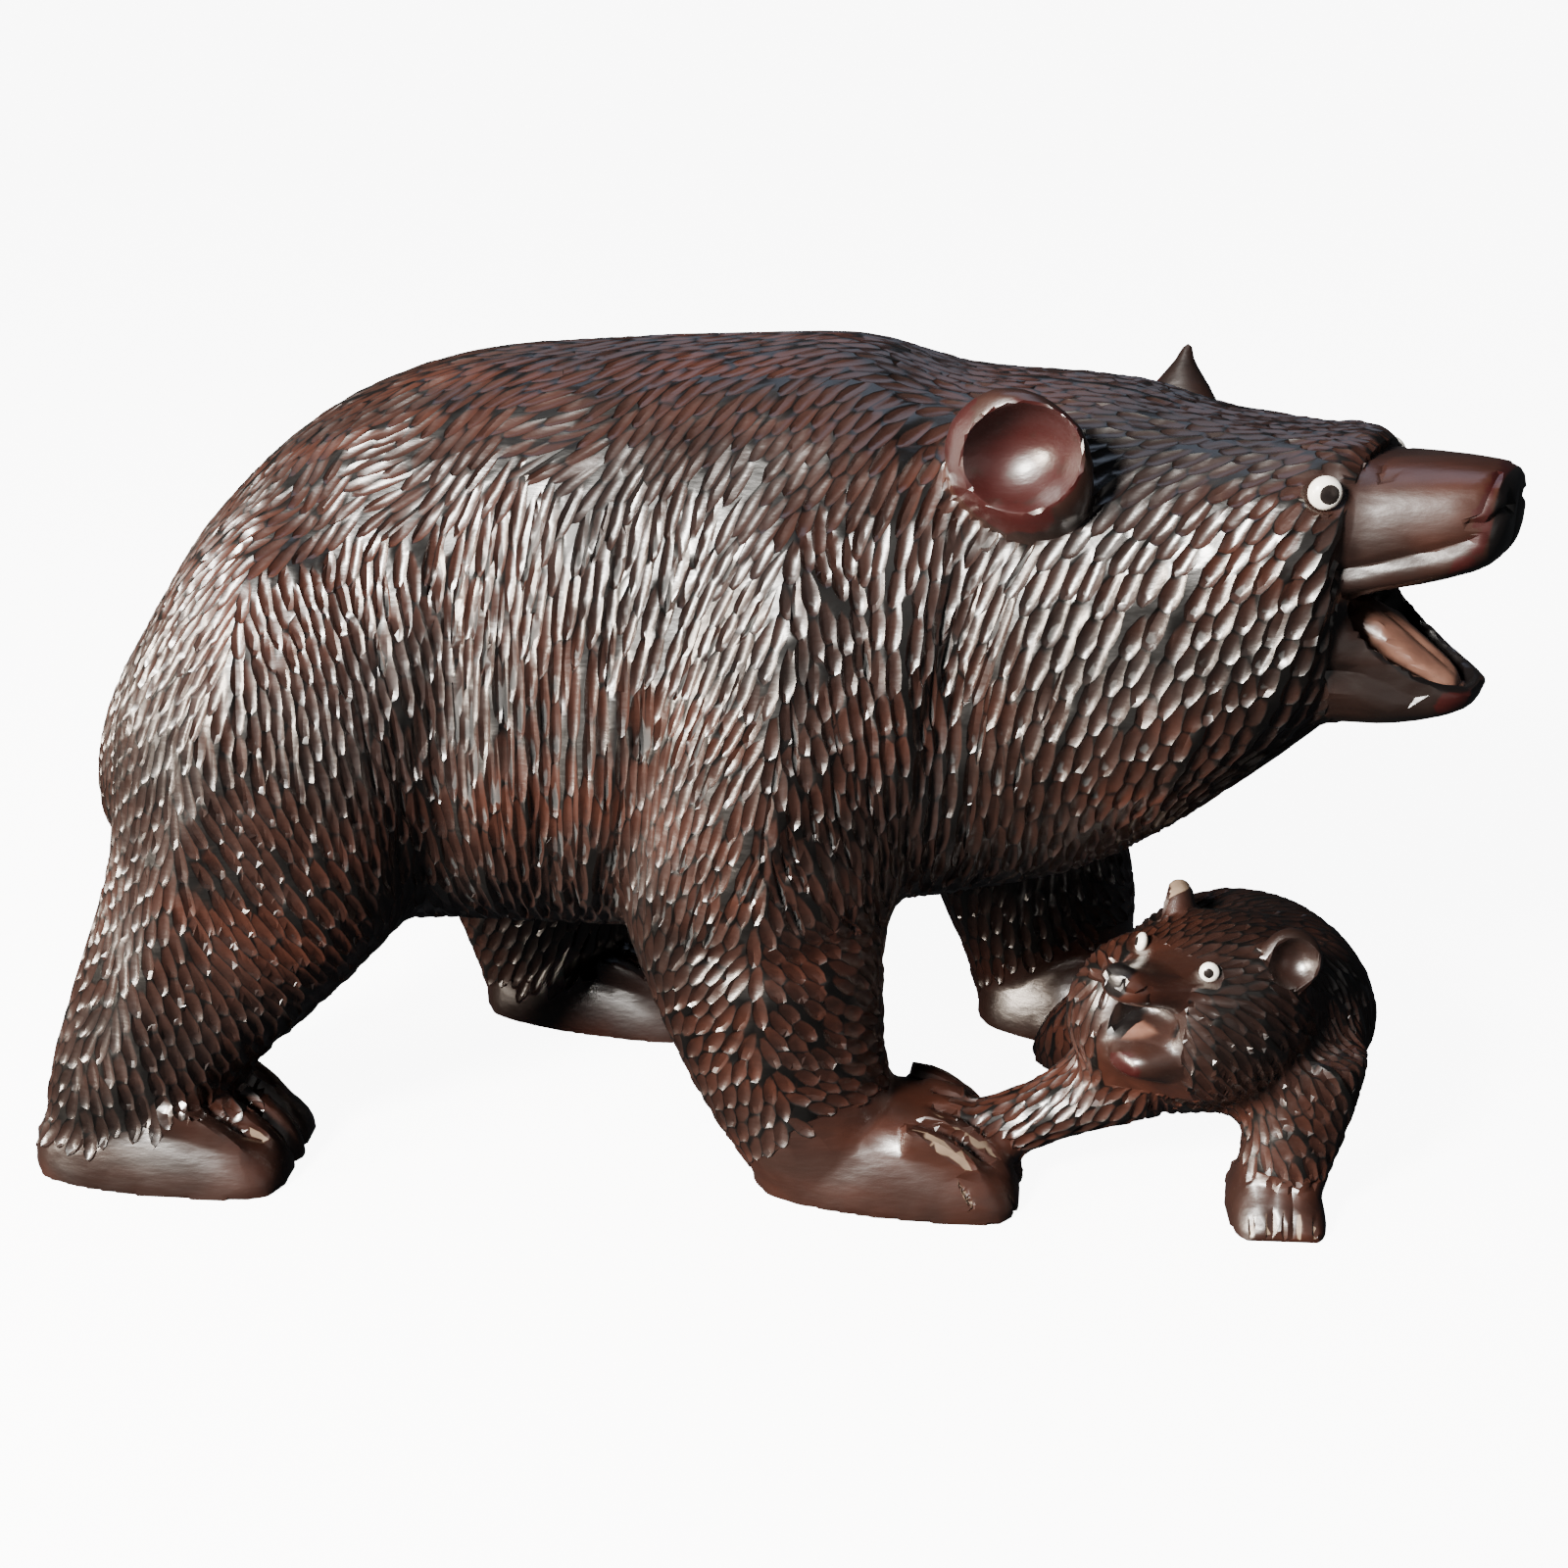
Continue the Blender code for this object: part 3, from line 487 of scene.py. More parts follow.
# On the head: forward, to her left and up, from the middle of her skull.
HEAD_COAT = (
    (-40, 20, 38, -1.0, 0.1, 0.0, 16, 3.2, 0.7),
    (-10, 20, 40, -1.0, 0.1, 0.0, 15, 3.2, 0.7),
    (25, 20, 38, -1.0, 0.15, 0.0, 14, 3.2, 0.8),
    (60, 15, 34, -1.0, 0.1, 0.1, 13, 3.2, 0.8),
    (80, 15, 30, -1.0, 0.1, 0.1, 11, 3.2, 0.8),
    (40, 38, 30, -0.8, 0.4, -0.5, 14, 3.8, 0.9),
    (70, 33, 28, -0.8, 0.4, -0.4, 12, 3.6, 0.9),
    (75, 40, 6, -0.5, 0.3, -0.85, 13, 4.0, 1.0),
    (50, 50, 12, -0.5, 0.2, -0.87, 16, 4.4, 1.1),
    (25, 55, 10, -0.5, 0.1, -0.87, 16, 4.4, 1.1),
    (0, 60, -2, -0.38, 0, -0.92, 22, 3.8, 1.1),
    (-25, 62, 5, -0.38, 0, -0.92, 24, 3.4, 1.1),
    (70, 42, -15, -0.3, 0.1, -0.95, 14, 4.6, 1.2),
    (45, 50, -15, -0.32, 0.1, -0.95, 16, 4.8, 1.2),
    (20, 55, -20, -0.32, 0, -0.95, 17, 4.6, 1.2),
    (70, 36, -36, -0.35, -0.2, -0.9, 14, 4.4, 1.1),
    (45, 42, -45, -0.4, -0.2, -0.9, 16, 4.6, 1.2),
    (20, 45, -55, -0.35, -0.1, -0.93, 18, 4.4, 1.2),
    (-5, 50, -60, -0.15, 0, -0.98, 24, 4.0, 1.2),
    (60, 8, -56, -0.9, 0, -0.4, 16, 4.6, 1.1),
    (35, 8, -66, -0.75, 0, -0.65, 18, 4.4, 1.1),
    (10, 8, -85, -0.5, 0, -0.85, 20, 4.0, 1.1),
    (-20, 50, -80, -0.08, 0, -1.0, 24, 3.8, 1.2),
)


# The cub's coat: a ruff that spreads from its face, then long fine cuts round its back.
CUB_COAT = (
    (14, 6, 18, -1.0, 0.15, 0.0, 12, 2.6, 0.7),
    (-8, 6, 18, -1.0, 0.1, 0.0, 13, 2.6, 0.7),
    (20, 20, 12, -0.85, 0.4, 0.1, 11, 2.6, 0.7),
    (20, 22, 0, -0.6, 0.4, -0.7, 15, 3.0, 1.0),
    (8, 28, 0, -0.7, 0.2, -0.7, 16, 3.0, 1.1),
    (20, 20, -14, -0.4, 0.3, -0.85, 16, 3.0, 1.0),
    (6, 27, -16, -0.45, 0.1, -0.9, 17, 3.1, 1.1),
    (20, 10, -32, -0.5, 0.1, -0.85, 15, 3.0, 1.0),
    (0, 12, -40, -0.5, 0.1, -0.85, 14, 3.0, 0.8),
)
CUB_BODY_COAT = (
    (128, -40, 84, 0.8, 0.55, 0.2, 16, 2.1, 0.6),
    (150, -30, 86, 0.8, 0.55, -0.2, 18, 2.1, 0.6),
    (168, -30, 74, 0.5, 0.3, -0.8, 18, 2.2, 0.6),
    (180, -35, 52, 0.1, 0.1, -1.0, 18, 2.3, 0.7),
    (168, -60, 58, 0.35, -0.1, -0.93, 16, 2.5, 0.8),
    (158, -78, 36, 0.55, -0.1, -0.8, 13, 3.4, 0.9),
    (170, -70, 22, 0.1, 0, -1.0, 12, 3.0, 0.7),
    (100, -75, 40, -0.6, -0.3, -0.75, 13, 3.0, 0.8),
    (82, -70, 26, -0.8, -0.2, -0.55, 12, 2.8, 0.8),
    (110, -55, 50, -0.5, -0.4, -0.75, 14, 3.0, 0.8),
    (170, 0, 40, 0.3, 0.2, -0.9, 16, 3.0, 0.7),
    (130, -10, 40, -0.2, 0.2, -0.95, 16, 3.2, 0.7),
)

bare_points = points_of(carving)
block_faces = [tuple(face.vertices) for face in carving.data.polygons]
block_skin = BVHTree.FromPolygons([Vector(p) for p in bare_points], block_faces)
MOTHER_EYE = (79, 30, 17.5)
CUB_EYE = (27.5, 13, 13.2)


def seen_from(points, frame_matrix):
    """The points in a head's or foot's own lines."""
    turn = np.array(frame_matrix.to_3x3())
    return (points - np.array(frame_matrix.translation)) @ turn


def close_to(points, chosen, skins, reach):
    """Which of the chosen points lie within reach of one of these forms."""
    answer = np.zeros(len(points), bool)
    for index in np.flatnonzero(chosen):
        spot = Vector(points[index])
        answer[index] = any(skin.find_nearest(spot, reach)[0] is not None for skin in skins)
    return answer


def smooth_places(points):
    """Faces, ears and soles, which are cut smooth, and feet, over which the coat hangs."""
    a, b, c = seen_from(points, mother_head).T
    hard = (a > 84.3) & (np.abs(b) < 46) & (c > -64) & (c < 36)
    hard |= (a - MOTHER_EYE[0]) ** 2 + (np.abs(b) - MOTHER_EYE[1]) ** 2 + (c - MOTHER_EYE[2]) ** 2 < 6.2 ** 2
    box = (a > -24) & (a < 28) & (np.abs(b) > 36) & (np.abs(b) < 72) & (c > -5) & (c < 46)
    hard |= close_to(points, box, ear_skins, 1.0)
    a, b, c = seen_from(points, cub_head).T
    hard |= (a > 26) & (np.abs(b) < 12) & (c > -30) & (c < 20)
    hard |= (a - CUB_EYE[0]) ** 2 + (np.abs(b) - CUB_EYE[1]) ** 2 + (c - CUB_EYE[2]) ** 2 < 4.6 ** 2
    box = (a > -10) & (a < 18) & (np.abs(b) > 12) & (np.abs(b) < 36) & (c > 0) & (c < 26)
    hard |= close_to(points, box, cub_ear_skins, 0.7)
    hard |= points[:, 2] < 1.0
    soft = (points[:, 2] < 17) & (points[:, 1] < -64) & (points[:, 0] > 136) & (points[:, 0] < 174)
    for foot, frame_matrix in foot_frames.items():
        f, s, z = seen_from(points, frame_matrix).T
        line = FUR_LINE_HIND if "hind" in foot else FUR_LINE_FORE
        reach = np.where(z < 22, 84, 64)
        soft |= (f > -9) & (f < reach) & (np.abs(s) < 34) & (z < np.interp(f, *line))
    return hard, soft & ~hard


block_hard, block_soft = smooth_places(bare_points)
block_smooth = block_hard | block_soft

coat = []
for along, up, run, out, rise, length, width, depth in NEAR_COAT:
    for side in (-1, 1):
        shift = 0.0 if side < 0 else float(np.interp(up, *FAR_LEG_SHIFT))
        start = Vector((along + shift, 200 * side, up))
        hit = block_skin.ray_cast(start, Vector((0, -side, 0)))[0]
        if hit is None or hit.y * side < 5:
            hit = block_skin.find_nearest(Vector((along + shift, 60 * side, up)))[0]
        coat.append((*hit, run, out * side, rise, length, width, depth))
coat.extend(UNDER_COAT)
for guides, frame_matrix in ((HEAD_COAT, mother_head), (CUB_COAT, cub_head)):
    for forward, left, up, run, out, rise, length, width, depth in guides:
        for side in (-1, 1):
            place = frame_matrix @ Vector((forward, left * side, up))
            way = frame_matrix.to_3x3() @ Vector((run, out * side, rise))
            coat.append((*place, *way, length, width, depth))
coat.extend(CUB_BODY_COAT)
coat = np.array(coat)

# Rows of cuts lie closer together than a cut is wide, and the next cut in a row starts before
# the last one ends. No cut starts inside the room of another.
STROKE_ROW = 0.80
STROKE_STEP = 0.66
ROOM_ALONG = 0.55
ROOM_ACROSS = 0.90
ROOM_REACH = 20
GUIDE_POWER = 4.0
CELL = 10.0
steady = random.Random(12)
strokes = []
nearby = defaultdict(list)


def lie_of_coat(place):
    """Direction, length, width and depth of the cut at a place, from the guides around it."""
    gaps = ((coat[:, :3] - place) ** 2).sum(axis=1) + 4.0
    weights = gaps ** (-GUIDE_POWER / 2)
    return (coat[:, 3:] * weights[:, None]).sum(axis=0) / weights.sum()


def try_stroke(start):
    """Adds a cut near this place if there is room for one, and returns it."""
    hit, facing, face, _ = block_skin.find_nearest(start)
    if hit is None or block_smooth[block_faces[face][0]]:
        return None
    place = np.array(hit)
    facing = np.array(facing)
    lie = lie_of_coat(place)
    way = lie[:3] - facing * (lie[:3] @ facing)
    size = np.linalg.norm(way)
    if size < 0.05:
        return None
    way /= size
    length, width, depth = lie[3:]
    key = tuple(int(v // CELL) for v in place)
    for i in range(-1, 2):
        for j in range(-1, 2):
            for k in range(-1, 2):
                for other in nearby[(key[0] + i, key[1] + j, key[2] + k)]:
                    gap = place - other[0]
                    if gap @ gap > ROOM_REACH ** 2 or facing @ other[2] < 0.2:
                        continue
                    along = gap @ way
                    across2 = gap @ gap - along * along
                    if (along / (ROOM_ALONG * length)) ** 2 + across2 / (ROOM_ACROSS * width) ** 2 < 1:
                        return None
    length *= steady.uniform(0.9, 1.12)
    depth *= steady.uniform(0.85, 1.15)
    stroke = (place, way, facing, length, width, depth)
    strokes.append(stroke)
    nearby[key].append(stroke)
    return stroke


def spread_from(seed):
    """Lays rows of cuts outwards from a first one, each row half a step on from the next."""
    queue = deque([Vector(seed)])
    while queue:
        stroke = try_stroke(queue.popleft())
        if stroke is None:
            continue
        place, way, facing, length, width, depth = stroke
        side = np.cross(facing, way)
        for step, row in ((0.5, 1), (0.5, -1), (-0.5, 1), (-0.5, -1), (1, 0), (-1, 0)):
            along = (step + steady.uniform(-0.07, 0.07)) * STROKE_STEP * length
            across = (row + steady.uniform(-0.06, 0.06)) * width
            queue.append(Vector(place + way * along + side * across))


for guide in coat:
    spread_from(guide[:3])
for index in range(0, len(bare_points), 5):
    try_stroke(Vector(bare_points[index]))


# Long dark clefts part the thick coat of her flanks and shoulders, cut last with a V tool.
CLEFT_WIDTH = 2.9
CLEFT_DEPTH = 1.55
for place, way, facing, length, width, depth in strokes[:]:
    on_flank = -118 < place[0] < 80 and 92 < place[2] < 210 and abs(place[1]) > 15
    if on_flank and steady.random() < 0.20:
        beside = place + np.cross(facing, way) * width / 2
        strokes.append((beside, way, facing, length * steady.uniform(0.9, 1.4), CLEFT_WIDTH * STROKE_ROW,
                        CLEFT_DEPTH * steady.uniform(0.8, 1.1)))

# On the paws a knife has cut flat facets along the claws and slits at the toe tips, through
# the stain into paler wood.
# Rows: forward, outwards, length, half width, how steeply it runs down.
FORE_FACETS = ((66, 19, 26, 2.7, 37), (68, 9.5, 27, 2.0, 39), (80.5, 25, 12, 0.9, 75), (84, 15, 12, 0.9, 75))
HIND_FACETS = ((76.5, 11, 9, 1.9, 45),)
FACET_DEPTH = 0.9
FACET_LEAN = math.radians(48)
FACET_OUT = 2.2
FACET_DOWN = 1.2
first_facet = len(strokes)
for foot, frame_matrix in foot_frames.items():
    outward = -1 if "near" in foot else 1
    turn = frame_matrix.to_3x3()
    for forward, across, length, half, fall in HIND_FACETS if "hind" in foot else FORE_FACETS:
        height = float(np.interp(forward, [row[0] for row in CLAW], [row[1] for row in CLAW]))
        place = frame_matrix @ Vector((forward + claw_shift(across), (across + FACET_OUT) * outward,
                                       height - FACET_DOWN))
        steep = math.radians(fall)
        way = turn @ Vector((math.cos(steep), 0, -math.sin(steep)))
        upward = turn @ Vector((math.sin(steep), 0, math.cos(steep)))
        facing = upward * math.cos(FACET_LEAN) + turn @ Vector((0, outward * math.sin(FACET_LEAN), 0))
        strokes.append((np.array(place), np.array(way), np.array(facing), length, half * 2 * STROKE_ROW,
                        FACET_DEPTH))
CUB_CLAWS = (-9.4, -4.7, 0, 4.7, 9.4)
for across in CUB_CLAWS:
    place = np.array((CUB_FOOT_ALONG + across, -93.5, 6))
    strokes.append((place, np.array((0, -0.3, -0.95)), np.array((0, -0.95, 0.3)), 10, 1.9 * STROKE_ROW, 0.5))

# The block takes its crisp forms, the hollows are cut, and the soles are sawn level.
FINE_VOXEL = 1.0
FINE_ROUNDING = 4
MOUTH_ROUNDING = 4
bpy.ops.mesh.primitive_cube_add(size=1.0)
saw_bench = bpy.context.object
saw_bench.data.transform(Matrix.Translation((0, 0, -0.03)) @ Matrix.Diagonal((0.7, 0.4, 0.06, 1)))
joined(carving, *added)
work(carving, "REMESH", mode="VOXEL", voxel_size=FINE_VOXEL * MM)
hollows = joined(*cuts, saw_bench)
pick(carving)
step = carving.modifiers.new("hollow", "BOOLEAN")
step.operation = "DIFFERENCE"
step.solver = "MANIFOLD"
step.object = hollows
bpy.ops.object.modifier_apply(modifier=step.name)
bpy.data.objects.remove(hollows)
work(carving, "REMESH", mode="VOXEL", voxel_size=FINE_VOXEL * MM)
work(carving, "SMOOTH", factor=0.5, iterations=FINE_ROUNDING)

points = points_of(carving)
normals = normals_of(carving)
hard, soft = smooth_places(points)
CUT_CELL = 9.0
cells = np.floor(points / CUT_CELL).astype(int) + 60
keys = (cells[:, 0] * 200 + cells[:, 1]) * 200 + cells[:, 2]
order = np.argsort(keys, kind="stable")
found, starts = np.unique(keys[order], return_index=True)
ends = np.append(starts[1:], len(order))
slices = {int(key): order[a:b] for key, a, b in zip(found, starts, ends)}
# A cut is a leaf: it widens and deepens from a shallow point and stops at a steep round end.
CUT_DEEPER = 1.35
CUT_SQUARENESS = 2.6
LEAF_WIDTH = 1.08
LEAF_NARROWING = 0.55
LEAF_LEAST = 0.3
DEEPEST_AT = 0.5
RISE_POWER = 0.8
FALL_POWER = 2.4
SAME_SKIN = 6
SAME_FACING = 0.2
RIDGE_MARGIN = 0.06
stroke_place, stroke_way, stroke_facing = (np.array([stroke[i] for stroke in strokes]) for i in range(3))
stroke_side = np.cross(stroke_facing, stroke_way)
stroke_long, stroke_half, stroke_depth = np.array([stroke[3:] for stroke in strokes]).T
stroke_long = stroke_long / 2
stroke_half = stroke_half / STROKE_ROW / 2
stroke_depth = stroke_depth * CUT_DEEPER


def around(place, reach):
    """Numbers of the points in the cells that a cut can touch."""
    low = np.floor((place - reach) / CUT_CELL).astype(int) + 60
    high = np.floor((place + reach) / CUT_CELL).astype(int) + 60
    got = [slices.get((x * 200 + y) * 200 + z)
           for x in range(low[0], high[0] + 1)
           for y in range(low[1], high[1] + 1)
           for z in range(low[2], high[2] + 1)]
    got = [part for part in got if part is not None]
    return np.concatenate(got) if got else np.empty(0, int)


def dug(spots, chosen):
    """How deep each spot's chosen cut goes there. Cut -1 is uncut wood."""
    gap = spots - stroke_place[chosen]
    along = (gap * stroke_way[chosen]).sum(axis=-1) / stroke_long[chosen]
    across = (gap * stroke_side[chosen]).sum(axis=-1) / stroke_half[chosen]
    across = across / np.clip(LEAF_WIDTH - LEAF_NARROWING * along ** 2, LEAF_LEAST, LEAF_WIDTH)
    rise = np.clip((along + 1) / (1 + DEEPEST_AT), 0, None) ** RISE_POWER
    fall = 1 - (np.clip(along - DEEPEST_AT, 0, None) / (1 - DEEPEST_AT)) ** FALL_POWER
    shape = np.where(along < DEEPEST_AT, rise, fall) - np.abs(across) ** CUT_SQUARENESS
    depth = stroke_depth[chosen] * shape
    return np.where(np.asarray(chosen) < 0, 0.0, depth)


# Every point keeps its deepest cut, and how deep the next one goes.
cut = np.zeros(len(points))
second = np.zeros(len(points))
owner = np.full(len(points), -1)
for index in range(len(strokes)):
    near = around(stroke_place[index], stroke_long[index] + 1)
    gap = points[near] - stroke_place[index]
    keep = np.abs(gap @ stroke_facing[index]) < SAME_SKIN
    keep &= normals[near] @ stroke_facing[index] > SAME_FACING
    if index < first_facet:
        keep &= ~hard[near] & (~soft[near] | (gap @ stroke_way[index] > 0))
    near = near[keep]
    dig = dug(points[near], index)
    deeper = dig > cut[near]
    spot = near[deeper]
    second[spot] = cut[spot]
    cut[spot] = dig[deeper]
    owner[spot] = index
    next_best = near[~deeper & (dig > second[near])]
    second[next_best] = dig[~deeper & (dig > second[near])]

# A ridge stands wherever one cut meets the next: the mesh is parted along those lines.
carving.data.calc_loop_triangles()
corners = np.empty(len(carving.data.loop_triangles) * 3, dtype=np.int32)
carving.data.loop_triangles.foreach_get("vertices", corners)
corners = corners.reshape(-1, 3).astype(int)
pairs = np.sort(np.concatenate([corners[:, (0, 1)], corners[:, (1, 2)], corners[:, (2, 0)]]), axis=1)
edges, edge_of = np.unique(pairs[:, 0] * len(points) + pairs[:, 1], return_inverse=True)
edge_of = edge_of.reshape(3, -1).T
start, end = edges // len(points), edges % len(points)
at_start = dug(points[start], owner[start]) - dug(points[start], owner[end])
at_end = dug(points[end], owner[start]) - dug(points[end], owner[end])
share = at_start / np.where(at_start > at_end, at_start - at_end, 1)
crossed = (owner[start] != owner[end]) & (share > RIDGE_MARGIN) & (share < 1 - RIDGE_MARGIN)
start, end, share = start[crossed], end[crossed], share[crossed, None]
ridge_points = points[start] * (1 - share) + points[end] * share
ridge_normals = normals[start] * (1 - share) + normals[end] * share
ridge_cut = np.clip(dug(ridge_points, owner[start]), 0, None)
knifed = owner >= first_facet
ridge_knifed = knifed[start] | knifed[end]
middle_of = np.full(len(edges), -1)
middle_of[crossed] = len(points) + np.arange(len(start))
middles = middle_of[edge_of]
parted = (middles >= 0).sum(axis=1)


def turned(wanted, first):
    """Corners and middles of the wanted triangles, each starting from its own corner."""
    turn = (first[:, None] + np.arange(3)) % 3
    return (np.take_along_axis(corners[wanted], turn, axis=1).T,
            np.take_along_axis(middles[wanted], turn, axis=1).T)


faces = [corners[parted == 0]]
(i, j, k), (ij, _, _) = turned(parted == 1, np.argmax(middles[parted == 1] >= 0, axis=1))
faces += [np.stack((i, ij, k), 1), np.stack((ij, j, k), 1)]
(i, j, k), (ij, jk, _) = turned(parted == 2, (np.argmin(middles[parted == 2], axis=1) + 1) % 3)
faces += [np.stack((ij, j, jk), 1), np.stack((i, ij, jk), 1), np.stack((i, jk, k), 1)]
(i, j, k), (ij, jk, ki) = turned(parted == 3, np.zeros((parted == 3).sum(), int))
centre = len(points) + len(ridge_points) + np.arange(len(i))
for one, other in ((i, ij), (ij, j), (j, jk), (jk, k), (k, ki), (ki, i)):
    faces.append(np.stack((one, other, centre), 1))
corners = np.concatenate(faces)
meeting = np.stack((ij, jk, ki)) - len(points)
points = np.concatenate([points, ridge_points, ridge_points[meeting].mean(axis=0)])
normals = np.concatenate([normals, ridge_normals, ridge_normals[meeting].mean(axis=0)])
normals /= np.linalg.norm(normals, axis=1)[:, None]
ridge_cut = np.concatenate([ridge_cut, ridge_cut[meeting].mean(axis=0)])
knifed = np.concatenate([knifed, ridge_knifed, ridge_knifed[meeting].any(axis=0)])
cut = np.concatenate([cut, ridge_cut])
second = np.concatenate([second, ridge_cut])
hard = np.concatenate([hard, np.zeros(len(ridge_cut), bool)])
furry = ~knifed & ~hard & (~np.concatenate([soft, np.zeros(len(ridge_cut), bool)]) | (cut > 0.02))

# Lines and folds of the smooth places: points along each, half width and height.
# Those on the sides of the mother's muzzle are given forward and up.
MUZZLE_MARKS = (
    (((85, -3.5), (92.7, -1.4), (99.6, 1), (108.6, 4), (115, 6.6)), 1.7, -1.5),
    (((86, -8.5), (93, -6.8), (100, -4.8), (108, -2.2), (114, 0.4)), 1.9, 0.8),
    (((84.2, -31.7), (91.5, -31.5), (100.8, -35.2), (106, -37.8)), 1.7, -1.6),
    (((84.2, -37.5), (92, -38), (100, -41.5)), 2.4, 1.2),
    (((87.5, -14.5), (94.4, -26.3), (104.6, -33.1), (113, -36.8), (117, -38)), 1.5, 0.9),
    (((88.7, 22.9), (90.4, 20.6), (93.2, 21.4)), 0.8, -0.9),
    (((114.4, 11.4), (118.4, 11.1), (121.6, 14.6)), 1.1, -1.6),
    (((118, 25.5), (117.8, 20), (116.8, 14)), 0.9, -0.6),
)
BROW = (((76, 18, 29), (84, 14, 29), (84, 4, 30)), 9.0, 1.8)
MIDDLE_MARKS = (
    (((123, 0, 17), (123, 0, 8), (120.5, 0, 1), (117, 0, -4.5)), 0.9, -1.0),
    (((86, 0, -18.7), (92, 0, -21), (102, 0, -27.8), (110, 0, -33)), 1.2, -1.2),
)
NOSTRILS = (
    (((122.5, -8.5, 17.4), (122.5, -6.5, 14.6)), 1.7, -2.4),
)
EYE_HOLLOWS = (
    (mother_head, MOTHER_EYE, 6.2, -1.2),
    (cub_head, CUB_EYE, 4.2, -0.5),
)
CUB_MARKS = (
    (((48.5, -8.2, 12), (51.5, -7, 11), (53.2, -4, 12)), 0.8, -0.9),
    (((47.5, -7.5, 16), (47, -8.6, 11), (46, -8, 6.5)), 0.8, -0.6),
    (((53.5, -3.2, 14.6), (53.5, -2.6, 13)), 0.9, -1.2),
)


def near_line(spots, line):
    """How far each spot is from a line of points."""
    away = np.full(len(spots), 1e9)
    for start, end in zip(line[:-1], line[1:]):
        start, end = np.array(start, float), np.array(end, float)
        run = end - start
        share = np.clip((spots - start) @ run / (run @ run), 0, 1)
        away = np.minimum(away, np.linalg.norm(spots - start - share[:, None] * run, axis=1))
    return away


FUR_PROUD = 0.35
SMOOTH_SUNK = 0.1
pressed = np.where(furry, FUR_PROUD - cut, -SMOOTH_SUNK - np.where(knifed, cut, 0))
spots = seen_from(points, mother_head)
for line, half, height in MUZZLE_MARKS:
    on_side = hard & (np.abs(spots[:, 1]) > 7) & (spots[:, 0] > 82)
    pressed += np.where(on_side, height * np.exp(-(near_line(spots[:, (0, 2)], line) / half) ** 2), 0)
for side in (-1, 1):
    line = [(a, b * side, c) for a, b, c in BROW[0]]
    pressed += np.where(hard, 0, BROW[2] * np.exp(-(near_line(spots, line) / BROW[1]) ** 2))
for marks, frame_matrix, sides in ((MIDDLE_MARKS, mother_head, (1,)), (NOSTRILS, mother_head, (-1, 1)),
                                   (CUB_MARKS, cub_head, (-1, 1))):
    spots = seen_from(points, frame_matrix)
    for line, half, height in marks:
        for side in sides:
            mirrored = [(a, -b * side, c) for a, b, c in line]
            pressed += np.where(hard, height * np.exp(-(near_line(spots, mirrored) / half) ** 2), 0)
for frame_matrix, eye, reach, height in EYE_HOLLOWS:
    spots = seen_from(points, frame_matrix)
    for side in (-1, 1):
        away = np.linalg.norm(spots - (eye[0], eye[1] * side, eye[2]), axis=1)
        pressed += height * np.clip(1.4 - (away / reach) ** 2, 0, 1)
# Between the claws a V tool cuts down to the ground. Each line is given forward and up.
CLAW_GAPS = (-14.2, -4.8, 4.8, 14.2)
CLAW_GAP_LINE = ((57, 27), (68, 23), (76, 15), (82, 7), (84, 0))
CLAW_GAP_DEPTH = 2.2
CLAW_GAP_HALF = 1.5
CUB_CLAW_GAPS = (-9.5, -3.2, 3.2, 9.5)
CUB_CLAW_GAP_DEPTH = 1.2
for frame_matrix in foot_frames.values():
    spots = seen_from(points, frame_matrix)
    for across in CLAW_GAPS:
        back = claw_shift(across)
        line = [(forward + back, across, height) for forward, height in CLAW_GAP_LINE]
        pressed += -CLAW_GAP_DEPTH * np.exp(-(near_line(spots, line) / CLAW_GAP_HALF) ** 2)
cub_foot_spots = points - np.array((CUB_FOOT_ALONG, 0, 0))
for across in CUB_CLAW_GAPS:
    line = [(across, -84, 15), (across, -90, 11), (across, -95, 2)]
    pressed += -CUB_CLAW_GAP_DEPTH * np.exp(-near_line(cub_foot_spots, line) ** 2)
points += normals * pressed[:, None]
on_sole = (points[:, 2] < 0.5) & (normals[:, 2] < -0.5)
points[:, 2] = np.where(on_sole, 0, np.maximum(points[:, 2], 0))
carved = bpy.data.meshes.new("carved_bear_and_cub")
carved.vertices.add(len(points))
carved.loops.add(len(corners) * 3)
carved.loops.foreach_set("vertex_index", corners.ravel())
carved.polygons.add(len(corners))
carved.polygons.foreach_set("loop_start", np.arange(len(corners)) * 3)
carving.data = carved
place_points(carving, points)
carved.update(calc_edges=True)
SMOOTH_GROOVE = 0.6
SMOOTH_RIDGE = 1.0
FAR_AWAY = 9.0
# groove and ridge also set painted shade in the wood's colour: black in the deepest cuts and dark lines along
# the ridges.
for label, values in (("groove", np.where(furry, cut, SMOOTH_GROOVE)),
                      ("ridge", np.where(furry, cut - second, SMOOTH_RIDGE)),
                      ("bare", np.where(knifed, 0.0, FAR_AWAY))):
    layer = carved.attributes.new(label, "FLOAT", "POINT")
    layer.data.foreach_set("value", values.astype(np.float32))



def inside(spots, back, front, half, low, high):
    """Which spots of a head lie in this box around its middle line."""
    a, b, c = spots.T
    return (a > back) & (a < front) & (np.abs(b) < half) & (c > low) & (c < high)


